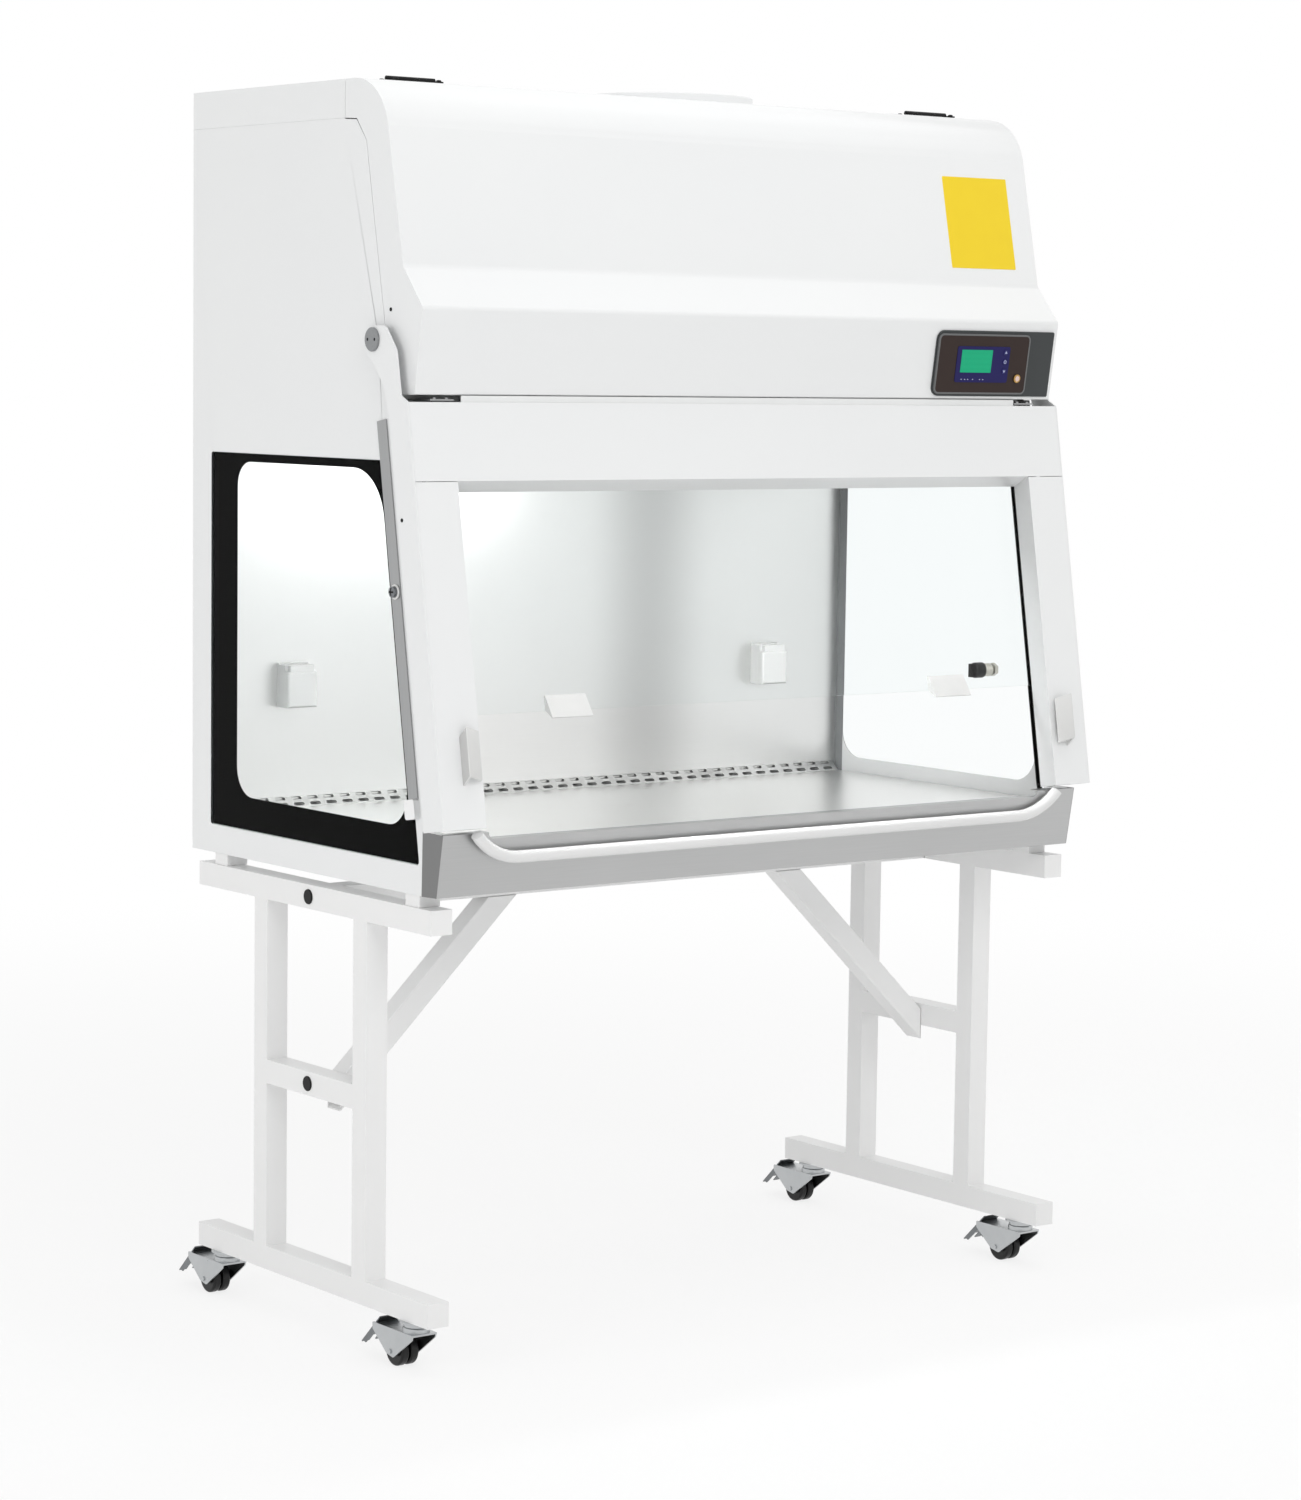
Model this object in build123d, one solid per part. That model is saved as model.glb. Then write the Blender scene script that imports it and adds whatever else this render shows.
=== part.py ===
from build123d import *
import os
from math import atan2, cos, degrees, hypot, pi, radians, sin, tan

os.makedirs("parts", exist_ok=True)

# A biosafety cabinet on a wheeled stand.  Millimetres, +Z up, front towards -Y.
# The origin is on the floor, midway across the width and the depth.

# Sheet and seams
SHEET = 2.0
SEAM = 1.5
TOUCH = 0.3
RUNNING = 0.05

# Stand: square tube weldments on swivel casters
TUBE = 40.0
TUBE_WALL = 2.0
STAND_OVERHANG = 1.8
STAND_HEIGHT = 748.0
RAIL_FRONT = -359.0
RAIL_REAR = 350.0
FRONT_POST_Y = -155.6
REAR_POST_Y = 149.0
CROSSBAR_Z = 418.0
BRACE_FOOT_Z = 400.0
BRACE_TOP_INSET = 361.8
BRACE_Y = -18.0
PLUG_RADIUS = 12.5
PLUG_HEIGHT = 2.5
SPACER_HEIGHT = 19.5
SPACER_Y = (-300.0, 285.0)

# Casters
CASTER_HEIGHT = 81.0
CASTER_FRONT_Y = -297.0
CASTER_REAR_Y = 288.0
CASTER_INSET = 19.8
CASTER_TRAIL = 40.0
WHEEL_RADIUS = 25.0
WHEEL_WIDTH = 15.0
AXLE_RADIUS = 4.0
KINGPIN_RADIUS = 5.0
FORK_HALF_WIDTH = 23.5
FORK_SHEET = 2.5
PEDAL_REACH = 89.0
PEDAL_PIVOT = 47.0
PEDAL_HALF_WIDTH = 20.0
PEDAL_SHEET = 2.0
PEDAL_PIN_RADIUS = 2.5

# Cabinet carcass; heights are above the cabinet's base
CABINET_WIDTH = 1340.0
CABINET_HEIGHT = 1277.5
CABINET_REAR = 378.0
BASE_FRONT = -330.0
TOP_CAP_HEIGHT = 61.0
HOOD_SEAM_Y = -95.0

# Hood outline
HOOD_FACE_TOP_Y = -202.8
HOOD_TOP_RADIUS = 98.0
LEDGE_Y = -264.5
LEDGE_H = 980.5
NOSE_Y = -319.6
NOSE_H = 917.5
LIP_Y = -299.0
LIP_H = 782.5
CHEEK_FOOT_Y = -236.0
CHEEK_KNEE = (-210.0, 914.5)
CHEEK_HEAD = (-158.0, 1179.5)
CHEEK_STEP_Y = -129.0

# Front frame, tilted; depths and drops are measured square to and down its face
FRAME_TILT = 9.4
FRAME_TOP_Y = -303.2
FRAME_TOP_H = 771.3
FRAME_LENGTH = 667.5
HEADER_DROP = 124.0
HEADER_SPLAY = 13.0
RETURN_DEPTH = 39.0
FLANGE_DEPTH = 56.0
JAMB_INSET = 66.0
ARM_SHEET = 3.0
ARM_STANDOFF = 13.0
PIVOT_Y = -204.4
PIVOT_H = 867.5
PIVOT_RADIUS = 8.0
PIVOT_HEAD_RADIUS = 19.0
TRACK_DEPTH = 10.7
TRACK_WIDTH = 34.0

# Sash
PANE_THICKNESS = 5.0
PANE_DEPTH = 42.0
PANE_TOP_DROP = 16.0
PANE_BOTTOM_DROP = 488.0
PANE_BITE = 10.5
HANDLE_INSET = 265.0
HANDLE_WIDTH = 80.0

# Side windows
WINDOW_GLASS = 6.0
WINDOW_REAR = 317.0
WINDOW_FOOT_H = 48.5
WINDOW_HEAD_H = 678.5
WINDOW_FRONT_DEPTH = 100.0
CLEAR_REAR = 239.0
CLEAR_FOOT_H = 103.5
CLEAR_HEAD_H = 664.5
CLEAR_FRONT_DEPTH = 124.0
CLEAR_FRONT_DEPTH_RIGHT = 109.0
CLEAR_RADII = (50.0, 40.0, 92.0, 52.0)
BORDER_THICKNESS = 0.8

# Edge strips, rests and lock knobs beside the frame
STRIP_DEPTH = 85.0
STRIP_WIDTH = 26.0
STRIP_SHEET = 2.5
STRIP_TOP_DROP = 14.0
STRIP_FOOT_DROP = 612.0
KNOB_DROP = 285.5
KNOB_RADIUS = 12.0
KNOB_LENGTH = 9.5

# Work chamber
BACK_WALL_Y = 261.0
TRAY_H = 76.5
TRAY_FRONT = -269.0
TRAY_REAR = 240.0
CHAMBER_INSET = 15.0
CEILING_H = 684.5
RAMP_HEIGHT = 18.0
RAMP_SHEET = 1.5
SLOT_PITCH = 32.5
SLOT_LENGTH = 21.0
SLOT_WIDTH = 7.0
SLOT_ROW_PITCH = 13.7
TRAY_LIFT = 60.0

# Apron, sill and armrest
APRON_OVERHANG = 0.7
APRON_FOOT_Y = -371.0
APRON_TOP_Y = -388.3
APRON_TOP_H = 102.5
NOTCH_INSET = 21.0
NOTCH_H = 91.5
NOTCH_RADIUS = 24.0
ARMREST_RADIUS = 10.0
ARMREST_STANDOFF = 4.0
ARMREST_H = 63.5
ARMREST_BEND = 110.0
ARMREST_INSET = 140.0
ARMREST_TOP_H = 104.0

# Controls on the hood's lower face; drops are measured up from the lip
BEZEL_INSET = 8.5
BEZEL_WIDTH = 271.0
BEZEL_V = (5.7, 119.4)
BEZEL_SHEET = 3.0
PANEL_MARGIN = 4.5
PANEL_WIDTH = 207.0
PANEL_V = (12.0, 112.0)
PANEL_SHEET = 3.0
DISPLAY_MARGIN = 42.0
DISPLAY_WIDTH = 121.5
DISPLAY_V = (30.5, 93.0)
DISPLAY_SHEET = 1.0
BUTTON_INSET = 10.5
BUTTON_V = (83.0, 66.8, 50.5)
BUTTON_RADIUS = 4.5
BUTTON_TRAVEL = 0.8
KEY_INSET = 21.0
KEY_V = 38.0
KEY_RADIUS = 7.5

# Top hinges and exhaust collar
HINGE_INSET = 123.0
HINGE_WIDTH = 92.0
HINGE_BARREL = 4.5
HINGE_PIN = 2.2
HINGE_LEAF = 3.0
HINGE_RISE = 5.0
COLLAR_X = 120.0
COLLAR_Y = 102.0
COLLAR_RADIUS = 150.0
COLLAR_HEIGHT = 21.0
COLLAR_WALL = 3.0

# Services in the chamber
SOCKET_INSETS = (127.0, 187.0)
SOCKET_WIDTH = 58.0
SOCKET_H = (247.5, 308.5)
SOCKET_DEPTH = 26.0
LID_THICKNESS = 10.7
VALVE_Y = -165.0
VALVE_H = 295.5
VALVE_RADIUS = 12.0
VALVE_KNOB_RADIUS = 14.0

# Fan and filters above the chamber
BULKHEAD_INSET = 12.0
FAN_X = -180.0
FAN_Y = 90.0
FAN_RADIUS = 120.0
FAN_BLADES = 10
SCROLL_HEIGHT = 110.0
SCROLL_GAP = 14.0
SCROLL_OUTLET = 30.0
SCROLL_CORNER = 60.0
MOTOR_RADIUS = 45.0
MOTOR_HEIGHT = 60.0
SHAFT_RADIUS = 8.0
BLADE_HEIGHT = 38.0
BLADE_CHORD = 52.0
HUB_RADIUS = 24.0
LAMP_DEPTH = 62.0
LAMP_FRONT_DROP = 52.0
LAMP_REAR_DROP = 34.0
FILTER_HEIGHT = 78.0
DECK_H = 804.5

HALF = CABINET_WIDTH / 2
STAND_HALF_WIDTH = HALF + STAND_OVERHANG
BRACE_TOP_X = STAND_HALF_WIDTH - BRACE_TOP_INSET
CASTER_X = STAND_HALF_WIDTH - CASTER_INSET
JAMB_INNER_X = HALF - JAMB_INSET
CHAMBER_HALF = HALF - CHAMBER_INSET
APRON_HALF = HALF + APRON_OVERHANG
NOTCH_HALF = JAMB_INNER_X - NOTCH_INSET
ARMREST_STRAIGHT = HALF - ARMREST_INSET
BULKHEAD_HALF = HALF - BULKHEAD_INSET
HANDLE_X = HALF - HANDLE_INSET
HINGE_X = HALF - HINGE_INSET
BEZEL_X = (HALF - BEZEL_INSET - BEZEL_WIDTH, HALF - BEZEL_INSET)
PANEL_X = (BEZEL_X[0] + PANEL_MARGIN, BEZEL_X[0] + PANEL_MARGIN + PANEL_WIDTH)
DISPLAY_X = (PANEL_X[0] + DISPLAY_MARGIN, PANEL_X[0] + DISPLAY_MARGIN + DISPLAY_WIDTH)
BUTTON_X = DISPLAY_X[1] - BUTTON_INSET
KEY_X = PANEL_X[1] - KEY_INSET
SOCKET_X = (SOCKET_INSETS[0] - HALF, HALF - SOCKET_INSETS[1])
BASE_Z = STAND_HEIGHT + SPACER_HEIGHT
TOP_Z = BASE_Z + CABINET_HEIGHT
CAP_Z = TOP_Z - TOP_CAP_HEIGHT
FRAME_TOP_Z = BASE_Z + FRAME_TOP_H
PIVOT_Z = BASE_Z + PIVOT_H
TRAY_Z = BASE_Z + TRAY_H
CEILING_Z = BASE_Z + CEILING_H
SIDE_FRONT_DEPTH = RETURN_DEPTH + TRACK_DEPTH + TOUCH
SEAT_DEPTH = RETURN_DEPTH
TILT_SIN = sin(radians(FRAME_TILT))
TILT_COS = cos(radians(FRAME_TILT))
FRAME = Pos(0, FRAME_TOP_Y, FRAME_TOP_Z) * Rot(X=-FRAME_TILT)
LIP_Z = BASE_Z + LIP_H
FACE_TILT = degrees(atan2(LIP_Y - NOSE_Y, NOSE_H - LIP_H))
HOOD_FACE = Pos(0, LIP_Y, LIP_Z) * Rot(X=FACE_TILT)


def block(xs, ys, zs):
    """A box between two corners."""
    middle = Pos((xs[0] + xs[1]) / 2, (ys[0] + ys[1]) / 2, (zs[0] + zs[1]) / 2)
    return middle * Box(abs(xs[1] - xs[0]), abs(ys[1] - ys[0]), abs(zs[1] - zs[0]))


def outline(points):
    """A closed flat outline; each point is (u, v) or (u, v, corner radius)."""
    face = make_face(Polyline(*[(p[0], p[1]) for p in points], close=True))
    for corner in [p for p in points if len(p) > 2]:
        vertex = face.vertices().sort_by_distance((corner[0], corner[1], 0))[0]
        face = fillet(vertex, corner[2])
    return face


def prism(points, xs):
    """An outline in (y, z), carried across the cabinet from one x to the other."""
    face = points if isinstance(points, Sketch) else outline(points)
    return extrude(Plane.YZ.offset(xs[0]) * face, xs[1] - xs[0])


def both_sides(shape):
    """A piece and its mirror image on the other side of the cabinet."""
    return [shape, mirror(shape, about=Plane.YZ)]


def rod(radius, start, end):
    """A round bar from one point to another."""
    way = Vector(*end) - Vector(*start)
    plane = Plane(origin=start, z_dir=way)
    return extrude(plane * Circle(radius), way.length)


def depth_y(z, depth):
    """The y at height z of the line that lies a given depth behind the frame's face."""
    return FRAME_TOP_Y - (FRAME_TOP_Z - z) * TILT_SIN / TILT_COS + depth / TILT_COS


def base_front_y(z):
    """The front edge of the carcass below the frame."""
    return BASE_FRONT - (z - BASE_Z) * SHEET / APRON_TOP_H


def save(name, *shapes):
    """Writes one node; several shapes stay separate solids."""
    solids = [s for shape in shapes for s in shape.solids()]
    shape = solids[0] if len(solids) == 1 else Compound(children=solids)
    shape.label = name
    export_step(shape, f"parts/{name}.step")


# ---------------------------------------------------------------- stand
def tube_run(start, end, across):
    """A square tube between two points with closed ends left to its caps."""
    way = Vector(*end) - Vector(*start)
    plane = Plane(origin=start, x_dir=across, z_dir=way)
    section = Rectangle(TUBE, TUBE) - Rectangle(TUBE - 2 * TUBE_WALL, TUBE - 2 * TUBE_WALL)
    return extrude(plane * section, way.length)


def stand_end():
    """One side of the stand: two rails, two posts, a crossbar and four end caps."""
    x = STAND_HALF_WIDTH - TUBE / 2
    low = CASTER_HEIGHT + TUBE / 2
    high = STAND_HEIGHT - TUBE / 2
    pieces = [tube_run((x, RAIL_FRONT, z), (x, RAIL_REAR, z), (1, 0, 0)) for z in (low, high)]
    for y in (FRONT_POST_Y, REAR_POST_Y):
        pieces.append(tube_run((x, y, low + TUBE / 2), (x, y, high - TUBE / 2), (1, 0, 0)))
    crossbar_start = (x, FRONT_POST_Y + TUBE / 2, CROSSBAR_Z)
    pieces.append(tube_run(crossbar_start, (x, REAR_POST_Y - TUBE / 2, CROSSBAR_Z), (1, 0, 0)))
    inside = TUBE / 2 - TUBE_WALL
    for z in (low, high):
        for y, inward in ((RAIL_FRONT, 1), (RAIL_REAR, -1)):
            cap = block((x - inside, x + inside), (y, y + inward * TUBE_WALL), (z - inside, z + inside))
            pieces.append(cap)
    return pieces


def stand_brace():
    """The long beam under the cabinet and a slanting brace down to each crossbar."""
    inner = STAND_HALF_WIDTH - TUBE
    beam_z = STAND_HEIGHT - TUBE / 2
    beam = tube_run((-inner, BRACE_Y, beam_z), (inner, BRACE_Y, beam_z), (0, 1, 0))
    top = (BRACE_TOP_X, BRACE_Y, STAND_HEIGHT - TUBE)
    foot = (inner, BRACE_Y, BRACE_FOOT_Z)
    slope = Vector(*top) - Vector(*foot)
    reach = slope.normalized() * TUBE
    long_brace = tube_run(Vector(*foot) - reach, Vector(*top) + reach, (0, 1, 0))
    room = block((0, inner), (BRACE_Y - TUBE, BRACE_Y + TUBE), (0, STAND_HEIGHT - TUBE))
    return [beam] + both_sides(long_brace & room)


stand_pieces = [half for piece in stand_end() for half in both_sides(piece)]
save("stand_ends", *stand_pieces)
save("stand_brace", *stand_brace())

plugs = []
for plug_z in (STAND_HEIGHT - TUBE / 2, CROSSBAR_Z):
    plug = rod(PLUG_RADIUS, (STAND_HALF_WIDTH, 0, plug_z), (STAND_HALF_WIDTH + PLUG_HEIGHT, 0, plug_z))
    plug = fillet(plug.edges().filter_by(GeomType.CIRCLE).sort_by(Axis.X)[-1], PLUG_HEIGHT * 0.6)
    plugs += both_sides(plug)
save("bolt_plugs", *plugs)

spacers = []
for spacer_y in SPACER_Y:
    spacer_x = (HALF - SHEET - TUBE, HALF - SHEET)
    spacer = block(spacer_x, (spacer_y - TUBE / 2, spacer_y + TUBE / 2), (STAND_HEIGHT, BASE_Z))
    spacers += both_sides(spacer)
save("spacer_blocks", *spacers)

# ---------------------------------------------------------------- casters
RACE_Z = CASTER_HEIGHT - 9.5
BRIDGE_Z = RACE_Z - 11.5
PEDAL_AXIS = (CASTER_TRAIL + PEDAL_PIVOT, BRIDGE_Z - 3)
CASTER_PLACES = {
    "front_left": (-CASTER_X, CASTER_FRONT_Y),
    "front_right": (CASTER_X, CASTER_FRONT_Y),
    "rear_left": (-CASTER_X, CASTER_REAR_Y),
    "rear_right": (CASTER_X, CASTER_REAR_Y),
}


def caster_mount():
    """The fixed plate, race cup and kingpin that hang from the rail."""
    plate = rod(TUBE * 0.68, (0, 0, CASTER_HEIGHT - 2.5), (0, 0, CASTER_HEIGHT))
    cup = rod(KINGPIN_RADIUS * 4, (0, 0, RACE_Z + TOUCH), (0, 0, CASTER_HEIGHT - 2.5))
    pin = rod(KINGPIN_RADIUS, (0, 0, BRIDGE_Z - TOUCH), (0, 0, RACE_Z + 1))
    head = rod(KINGPIN_RADIUS * 1.7, (0, 0, BRIDGE_Z - 4), (0, 0, BRIDGE_Z - TOUCH))
    return plate + cup + pin + head


def caster_fork():
    """The stamped fork: a race disc, a bridge, two three-cornered legs, the axle and the pedal's pin."""
    tail = CASTER_TRAIL + PEDAL_PIVOT + 5
    disc = rod(KINGPIN_RADIUS * 4.4, (0, 0, BRIDGE_Z + 3), (0, 0, RACE_Z))
    disc = fillet(disc.edges().filter_by(GeomType.CIRCLE).sort_by(Axis.Z)[-1], 3)
    bridge = block((-FORK_HALF_WIDTH, FORK_HALF_WIDTH), (-24, tail - 9), (BRIDGE_Z, BRIDGE_Z + 3))
    leg = outline([
        (-24, BRIDGE_Z + 3, 2),
        (tail, BRIDGE_Z + 3, 2),
        (tail, BRIDGE_Z - 8, 6),
        (CASTER_TRAIL + 11, WHEEL_RADIUS - 5, 8),
        (CASTER_TRAIL - 9, WHEEL_RADIUS - 9, 7),
        (-22, BRIDGE_Z - 5, 3),
    ])
    legs = both_sides(prism(leg, (FORK_HALF_WIDTH - FORK_SHEET, FORK_HALF_WIDTH)))
    axle_end = FORK_HALF_WIDTH + 2
    axle = rod(AXLE_RADIUS, (-axle_end, CASTER_TRAIL, WHEEL_RADIUS), (axle_end, CASTER_TRAIL, WHEEL_RADIUS))
    pin = rod(PEDAL_PIN_RADIUS, (-FORK_HALF_WIDTH, *PEDAL_AXIS), (FORK_HALF_WIDTH, *PEDAL_AXIS))
    bore = rod(KINGPIN_RADIUS + RUNNING, (0, 0, BRIDGE_Z - 1), (0, 0, RACE_Z + 1))
    return disc + bridge + legs[0] + legs[1] + axle + pin - bore


def caster_wheels():
    """Two plastic wheels side by side with a rounded tread and a hub boss."""
    wheels = []
    for side in (-1, 1):
        inner = 1.5
        outer = inner + WHEEL_WIDTH
        wheel = rod(WHEEL_RADIUS, (side * inner, CASTER_TRAIL, WHEEL_RADIUS),
                    (side * outer, CASTER_TRAIL, WHEEL_RADIUS))
        rims = wheel.edges().filter_by(GeomType.CIRCLE)
        wheel = fillet(rims, 4)
        boss_end = FORK_HALF_WIDTH - FORK_SHEET - TOUCH
        wheel += rod(AXLE_RADIUS * 2.2, (side * outer, CASTER_TRAIL, WHEEL_RADIUS),
                     (side * boss_end, CASTER_TRAIL, WHEEL_RADIUS))
        wheel -= rod(AXLE_RADIUS + RUNNING, (0, CASTER_TRAIL, WHEEL_RADIUS),
                     (side * FORK_HALF_WIDTH, CASTER_TRAIL, WHEEL_RADIUS))
        wheels.append(wheel)
    return wheels


def caster_brake():
    """The pressed pedal: a sloping plate with turned-down sides, a bored boss and two toe lips."""
    pivot_y, pivot_z = PEDAL_AXIS
    toe_y = CASTER_TRAIL + PEDAL_REACH
    fall = 0.96
    head = (pivot_y - 11, pivot_z + 17)
    toe = (toe_y, head[1] - fall * (toe_y - head[0]))
    across = PEDAL_SHEET / 1.414
    plate = prism([head, toe, (toe[0] - across, toe[1] - across), (head[0] - across, head[1] - across)],
                  (-PEDAL_HALF_WIDTH, PEDAL_HALF_WIDTH))
    inside = (head[0] - across / 2, head[1] - across / 2)
    side = prism([
        (pivot_y - 3, inside[1] - fall * (pivot_y - 3 - inside[0])),
        (pivot_y - 3, pivot_z + 1),
        (pivot_y - 2, pivot_z - 5),
        (toe_y - 11, toe[1] - 1),
        (toe_y - 4, inside[1] - fall * (toe_y - 4 - inside[0])),
    ], (PEDAL_HALF_WIDTH - 2.5, PEDAL_HALF_WIDTH))
    boss = rod(PEDAL_PIN_RADIUS + 1.5, (-PEDAL_HALF_WIDTH, *PEDAL_AXIS), (PEDAL_HALF_WIDTH, *PEDAL_AXIS))
    bore = rod(PEDAL_PIN_RADIUS + RUNNING, (-FORK_HALF_WIDTH, *PEDAL_AXIS), (FORK_HALF_WIDTH, *PEDAL_AXIS))
    slot = block((-6, 6), (toe[0] - 14, toe[0] + 5), (toe[1] - 20, toe[1] + 20))
    sides = both_sides(side)
    return plate + sides[0] + sides[1] + boss - bore - slot


caster_mounts = []
for place, (caster_x, caster_y) in CASTER_PLACES.items():
    at = Pos(caster_x, caster_y, 0)
    caster_mounts.append(at * caster_mount())
    save(f"caster_fork_{place}", at * caster_fork())
    save(f"caster_wheels_{place}", *[at * wheel for wheel in caster_wheels()])
    save(f"caster_brake_{place}", at * caster_brake())
save("caster_mounts", *caster_mounts)

# ---------------------------------------------------------------- carcass
side_outline = [
    (CABINET_REAR, BASE_Z),
    (CABINET_REAR, CAP_Z),
    (HOOD_SEAM_Y + SEAM, CAP_Z),
    (HOOD_SEAM_Y + SEAM, CAP_Z - SEAM),
    (CHEEK_STEP_Y + SEAM, CAP_Z - SHEET - SEAM),
    (CHEEK_HEAD[0] + SEAM, BASE_Z + CHEEK_HEAD[1]),
    (CHEEK_KNEE[0] + SEAM, BASE_Z + CHEEK_KNEE[1]),
    (CHEEK_FOOT_Y + SEAM, LIP_Z - SEAM),
    (depth_y(LIP_Z - SEAM, SIDE_FRONT_DEPTH), LIP_Z - SEAM),
    (depth_y(BASE_Z + APRON_TOP_H + 10, SIDE_FRONT_DEPTH), BASE_Z + APRON_TOP_H + 10),
    (base_front_y(BASE_Z + APRON_TOP_H + 10), BASE_Z + APRON_TOP_H + 10),
    (BASE_FRONT, BASE_Z),
]
WINDOW_FOOT = BASE_Z + WINDOW_FOOT_H
WINDOW_HEAD = BASE_Z + WINDOW_HEAD_H
CLEAR_FOOT = BASE_Z + CLEAR_FOOT_H
CLEAR_HEAD = BASE_Z + CLEAR_HEAD_H


def window_outline(grow):
    """The side glass: square at the rear, raked along the front frame."""
    foot = WINDOW_FOOT - grow
    head = WINDOW_HEAD + grow
    depth = WINDOW_FRONT_DEPTH - grow
    rear = WINDOW_REAR + grow
    return outline([(rear, foot, 6), (rear, head, 6), (depth_y(head, depth), head, 6), (depth_y(foot, depth), foot, 6)])


def clear_outline(front_depth, front_radius):
    """The clear field inside the dark border, with a large round at its front top corner."""
    return outline([
        (CLEAR_REAR, CLEAR_FOOT, CLEAR_RADII[0]),
        (CLEAR_REAR, CLEAR_HEAD, CLEAR_RADII[1]),
        (depth_y(CLEAR_HEAD, front_depth), CLEAR_HEAD, front_radius),
        (depth_y(CLEAR_FOOT, front_depth), CLEAR_FOOT, CLEAR_RADII[3]),
    ])


GLASS_INNER = HALF - WINDOW_GLASS
side_skin = prism(side_outline, (HALF - SHEET, HALF)) - prism(window_outline(TOUCH), (HALF - 10, HALF + 1))
front_flange = FRAME * block(
    (JAMB_INNER_X + TRACK_WIDTH - 12, HALF - SHEET),
    (SIDE_FRONT_DEPTH, SIDE_FRONT_DEPTH + SHEET),
    (-FRAME_LENGTH + 15, -PANE_TOP_DROP),
)
side_panel = side_skin + front_flange
pivot_hole = rod(PIVOT_RADIUS, (HALF - 20, PIVOT_Y, PIVOT_Z), (HALF + 1, PIVOT_Y, PIVOT_Z))
side_panel -= pivot_hole
save("side_panels", *both_sides(side_panel))

window = prism(window_outline(0), (GLASS_INNER, HALF))
valve_at = (VALVE_Y, BASE_Z + VALVE_H)
valve_hole = rod(VALVE_RADIUS / 2, (GLASS_INNER - 1, *valve_at), (HALF + 1, *valve_at))
left_window = mirror(window, about=Plane.YZ)
save("side_windows", left_window, window - valve_hole)
border = prism(window_outline(0), (GLASS_INNER - BORDER_THICKNESS, GLASS_INNER))
cut_depth = (GLASS_INNER - 5, HALF)
left_border = mirror(border - prism(clear_outline(CLEAR_FRONT_DEPTH, CLEAR_RADII[2]), cut_depth), about=Plane.YZ)
right_border = border - prism(clear_outline(CLEAR_FRONT_DEPTH_RIGHT, CLEAR_RADII[0]), cut_depth)
save("window_borders", left_border, right_border)

INSIDE = HALF - SHEET
save("base_panel", block((-INSIDE, INSIDE), (BASE_FRONT + SHEET, CABINET_REAR - SHEET), (BASE_Z, BASE_Z + SHEET)))
save("rear_panel", block((-INSIDE, INSIDE), (CABINET_REAR - SHEET, CABINET_REAR), (BASE_Z, CAP_Z)))

cap_front = HOOD_SEAM_Y + SEAM
collar_at = Pos(COLLAR_X, COLLAR_Y, 0)
top_cap = block((-HALF, HALF), (cap_front, CABINET_REAR), (CAP_Z, TOP_Z))
top_cap -= block((-INSIDE, INSIDE), (cap_front - 1, CABINET_REAR - SHEET), (CAP_Z - 1, TOP_Z - SHEET))
top_cap -= collar_at * rod(COLLAR_RADIUS - COLLAR_WALL, (0, 0, TOP_Z - 10), (0, 0, TOP_Z + 10))
save("top_cover", top_cap)

collar = collar_at * rod(COLLAR_RADIUS, (0, 0, TOP_Z), (0, 0, TOP_Z + COLLAR_HEIGHT))
collar = fillet(collar.edges().filter_by(GeomType.CIRCLE).sort_by(Axis.Z)[-1], COLLAR_WALL * 0.9)
collar -= collar_at * rod(COLLAR_RADIUS - COLLAR_WALL, (0, 0, TOP_Z - 1), (0, 0, TOP_Z + COLLAR_HEIGHT + 1))
save("exhaust_collar", collar)

# ---------------------------------------------------------------- trim beside the frame
STRIP_X = (HALF, HALF + STRIP_SHEET)
strip = FRAME * block(STRIP_X, (STRIP_DEPTH, STRIP_DEPTH + STRIP_WIDTH), (-STRIP_FOOT_DROP, -STRIP_TOP_DROP))
rest_x = (HALF, HALF + ARM_STANDOFF - 2)
rest = FRAME * block(rest_x, (STRIP_DEPTH - 1, STRIP_DEPTH + STRIP_WIDTH + 1),
                     (-STRIP_FOOT_DROP - 32, -STRIP_FOOT_DROP - 0.5))
rest = chamfer(rest.edges().filter_by(Axis.X), 3)
catch_x = (HALF - 77, HALF - 32)
catch_y = (CHEEK_FOOT_Y - 58, CHEEK_FOOT_Y + 5 - TOUCH)
catch_z = (LIP_Z - 9, LIP_Z - 6.5)
catch = block(catch_x, catch_y, catch_z)
catch += block(catch_x, (catch_y[1] - SHEET, catch_y[1]), (catch_z[0] - 18, catch_z[1]))
for screw_x in (catch_x[0] + 11, catch_x[1] - 11):
    screw_at = (screw_x, catch_y[0] + 6)
    catch += rod(3.5, (*screw_at, catch_z[1]), (*screw_at, catch_z[1] + 2.5))
save("front_hardware", *both_sides(strip), *both_sides(rest), *both_sides(catch))

# ---------------------------------------------------------------- chamber
wall_half = GLASS_INNER - BORDER_THICKNESS - TOUCH
back_wall = block((-wall_half, wall_half), (BACK_WALL_Y, BACK_WALL_Y + SHEET), (TRAY_Z - 2 * SHEET, CEILING_Z))
save("back_wall", back_wall)

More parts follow.
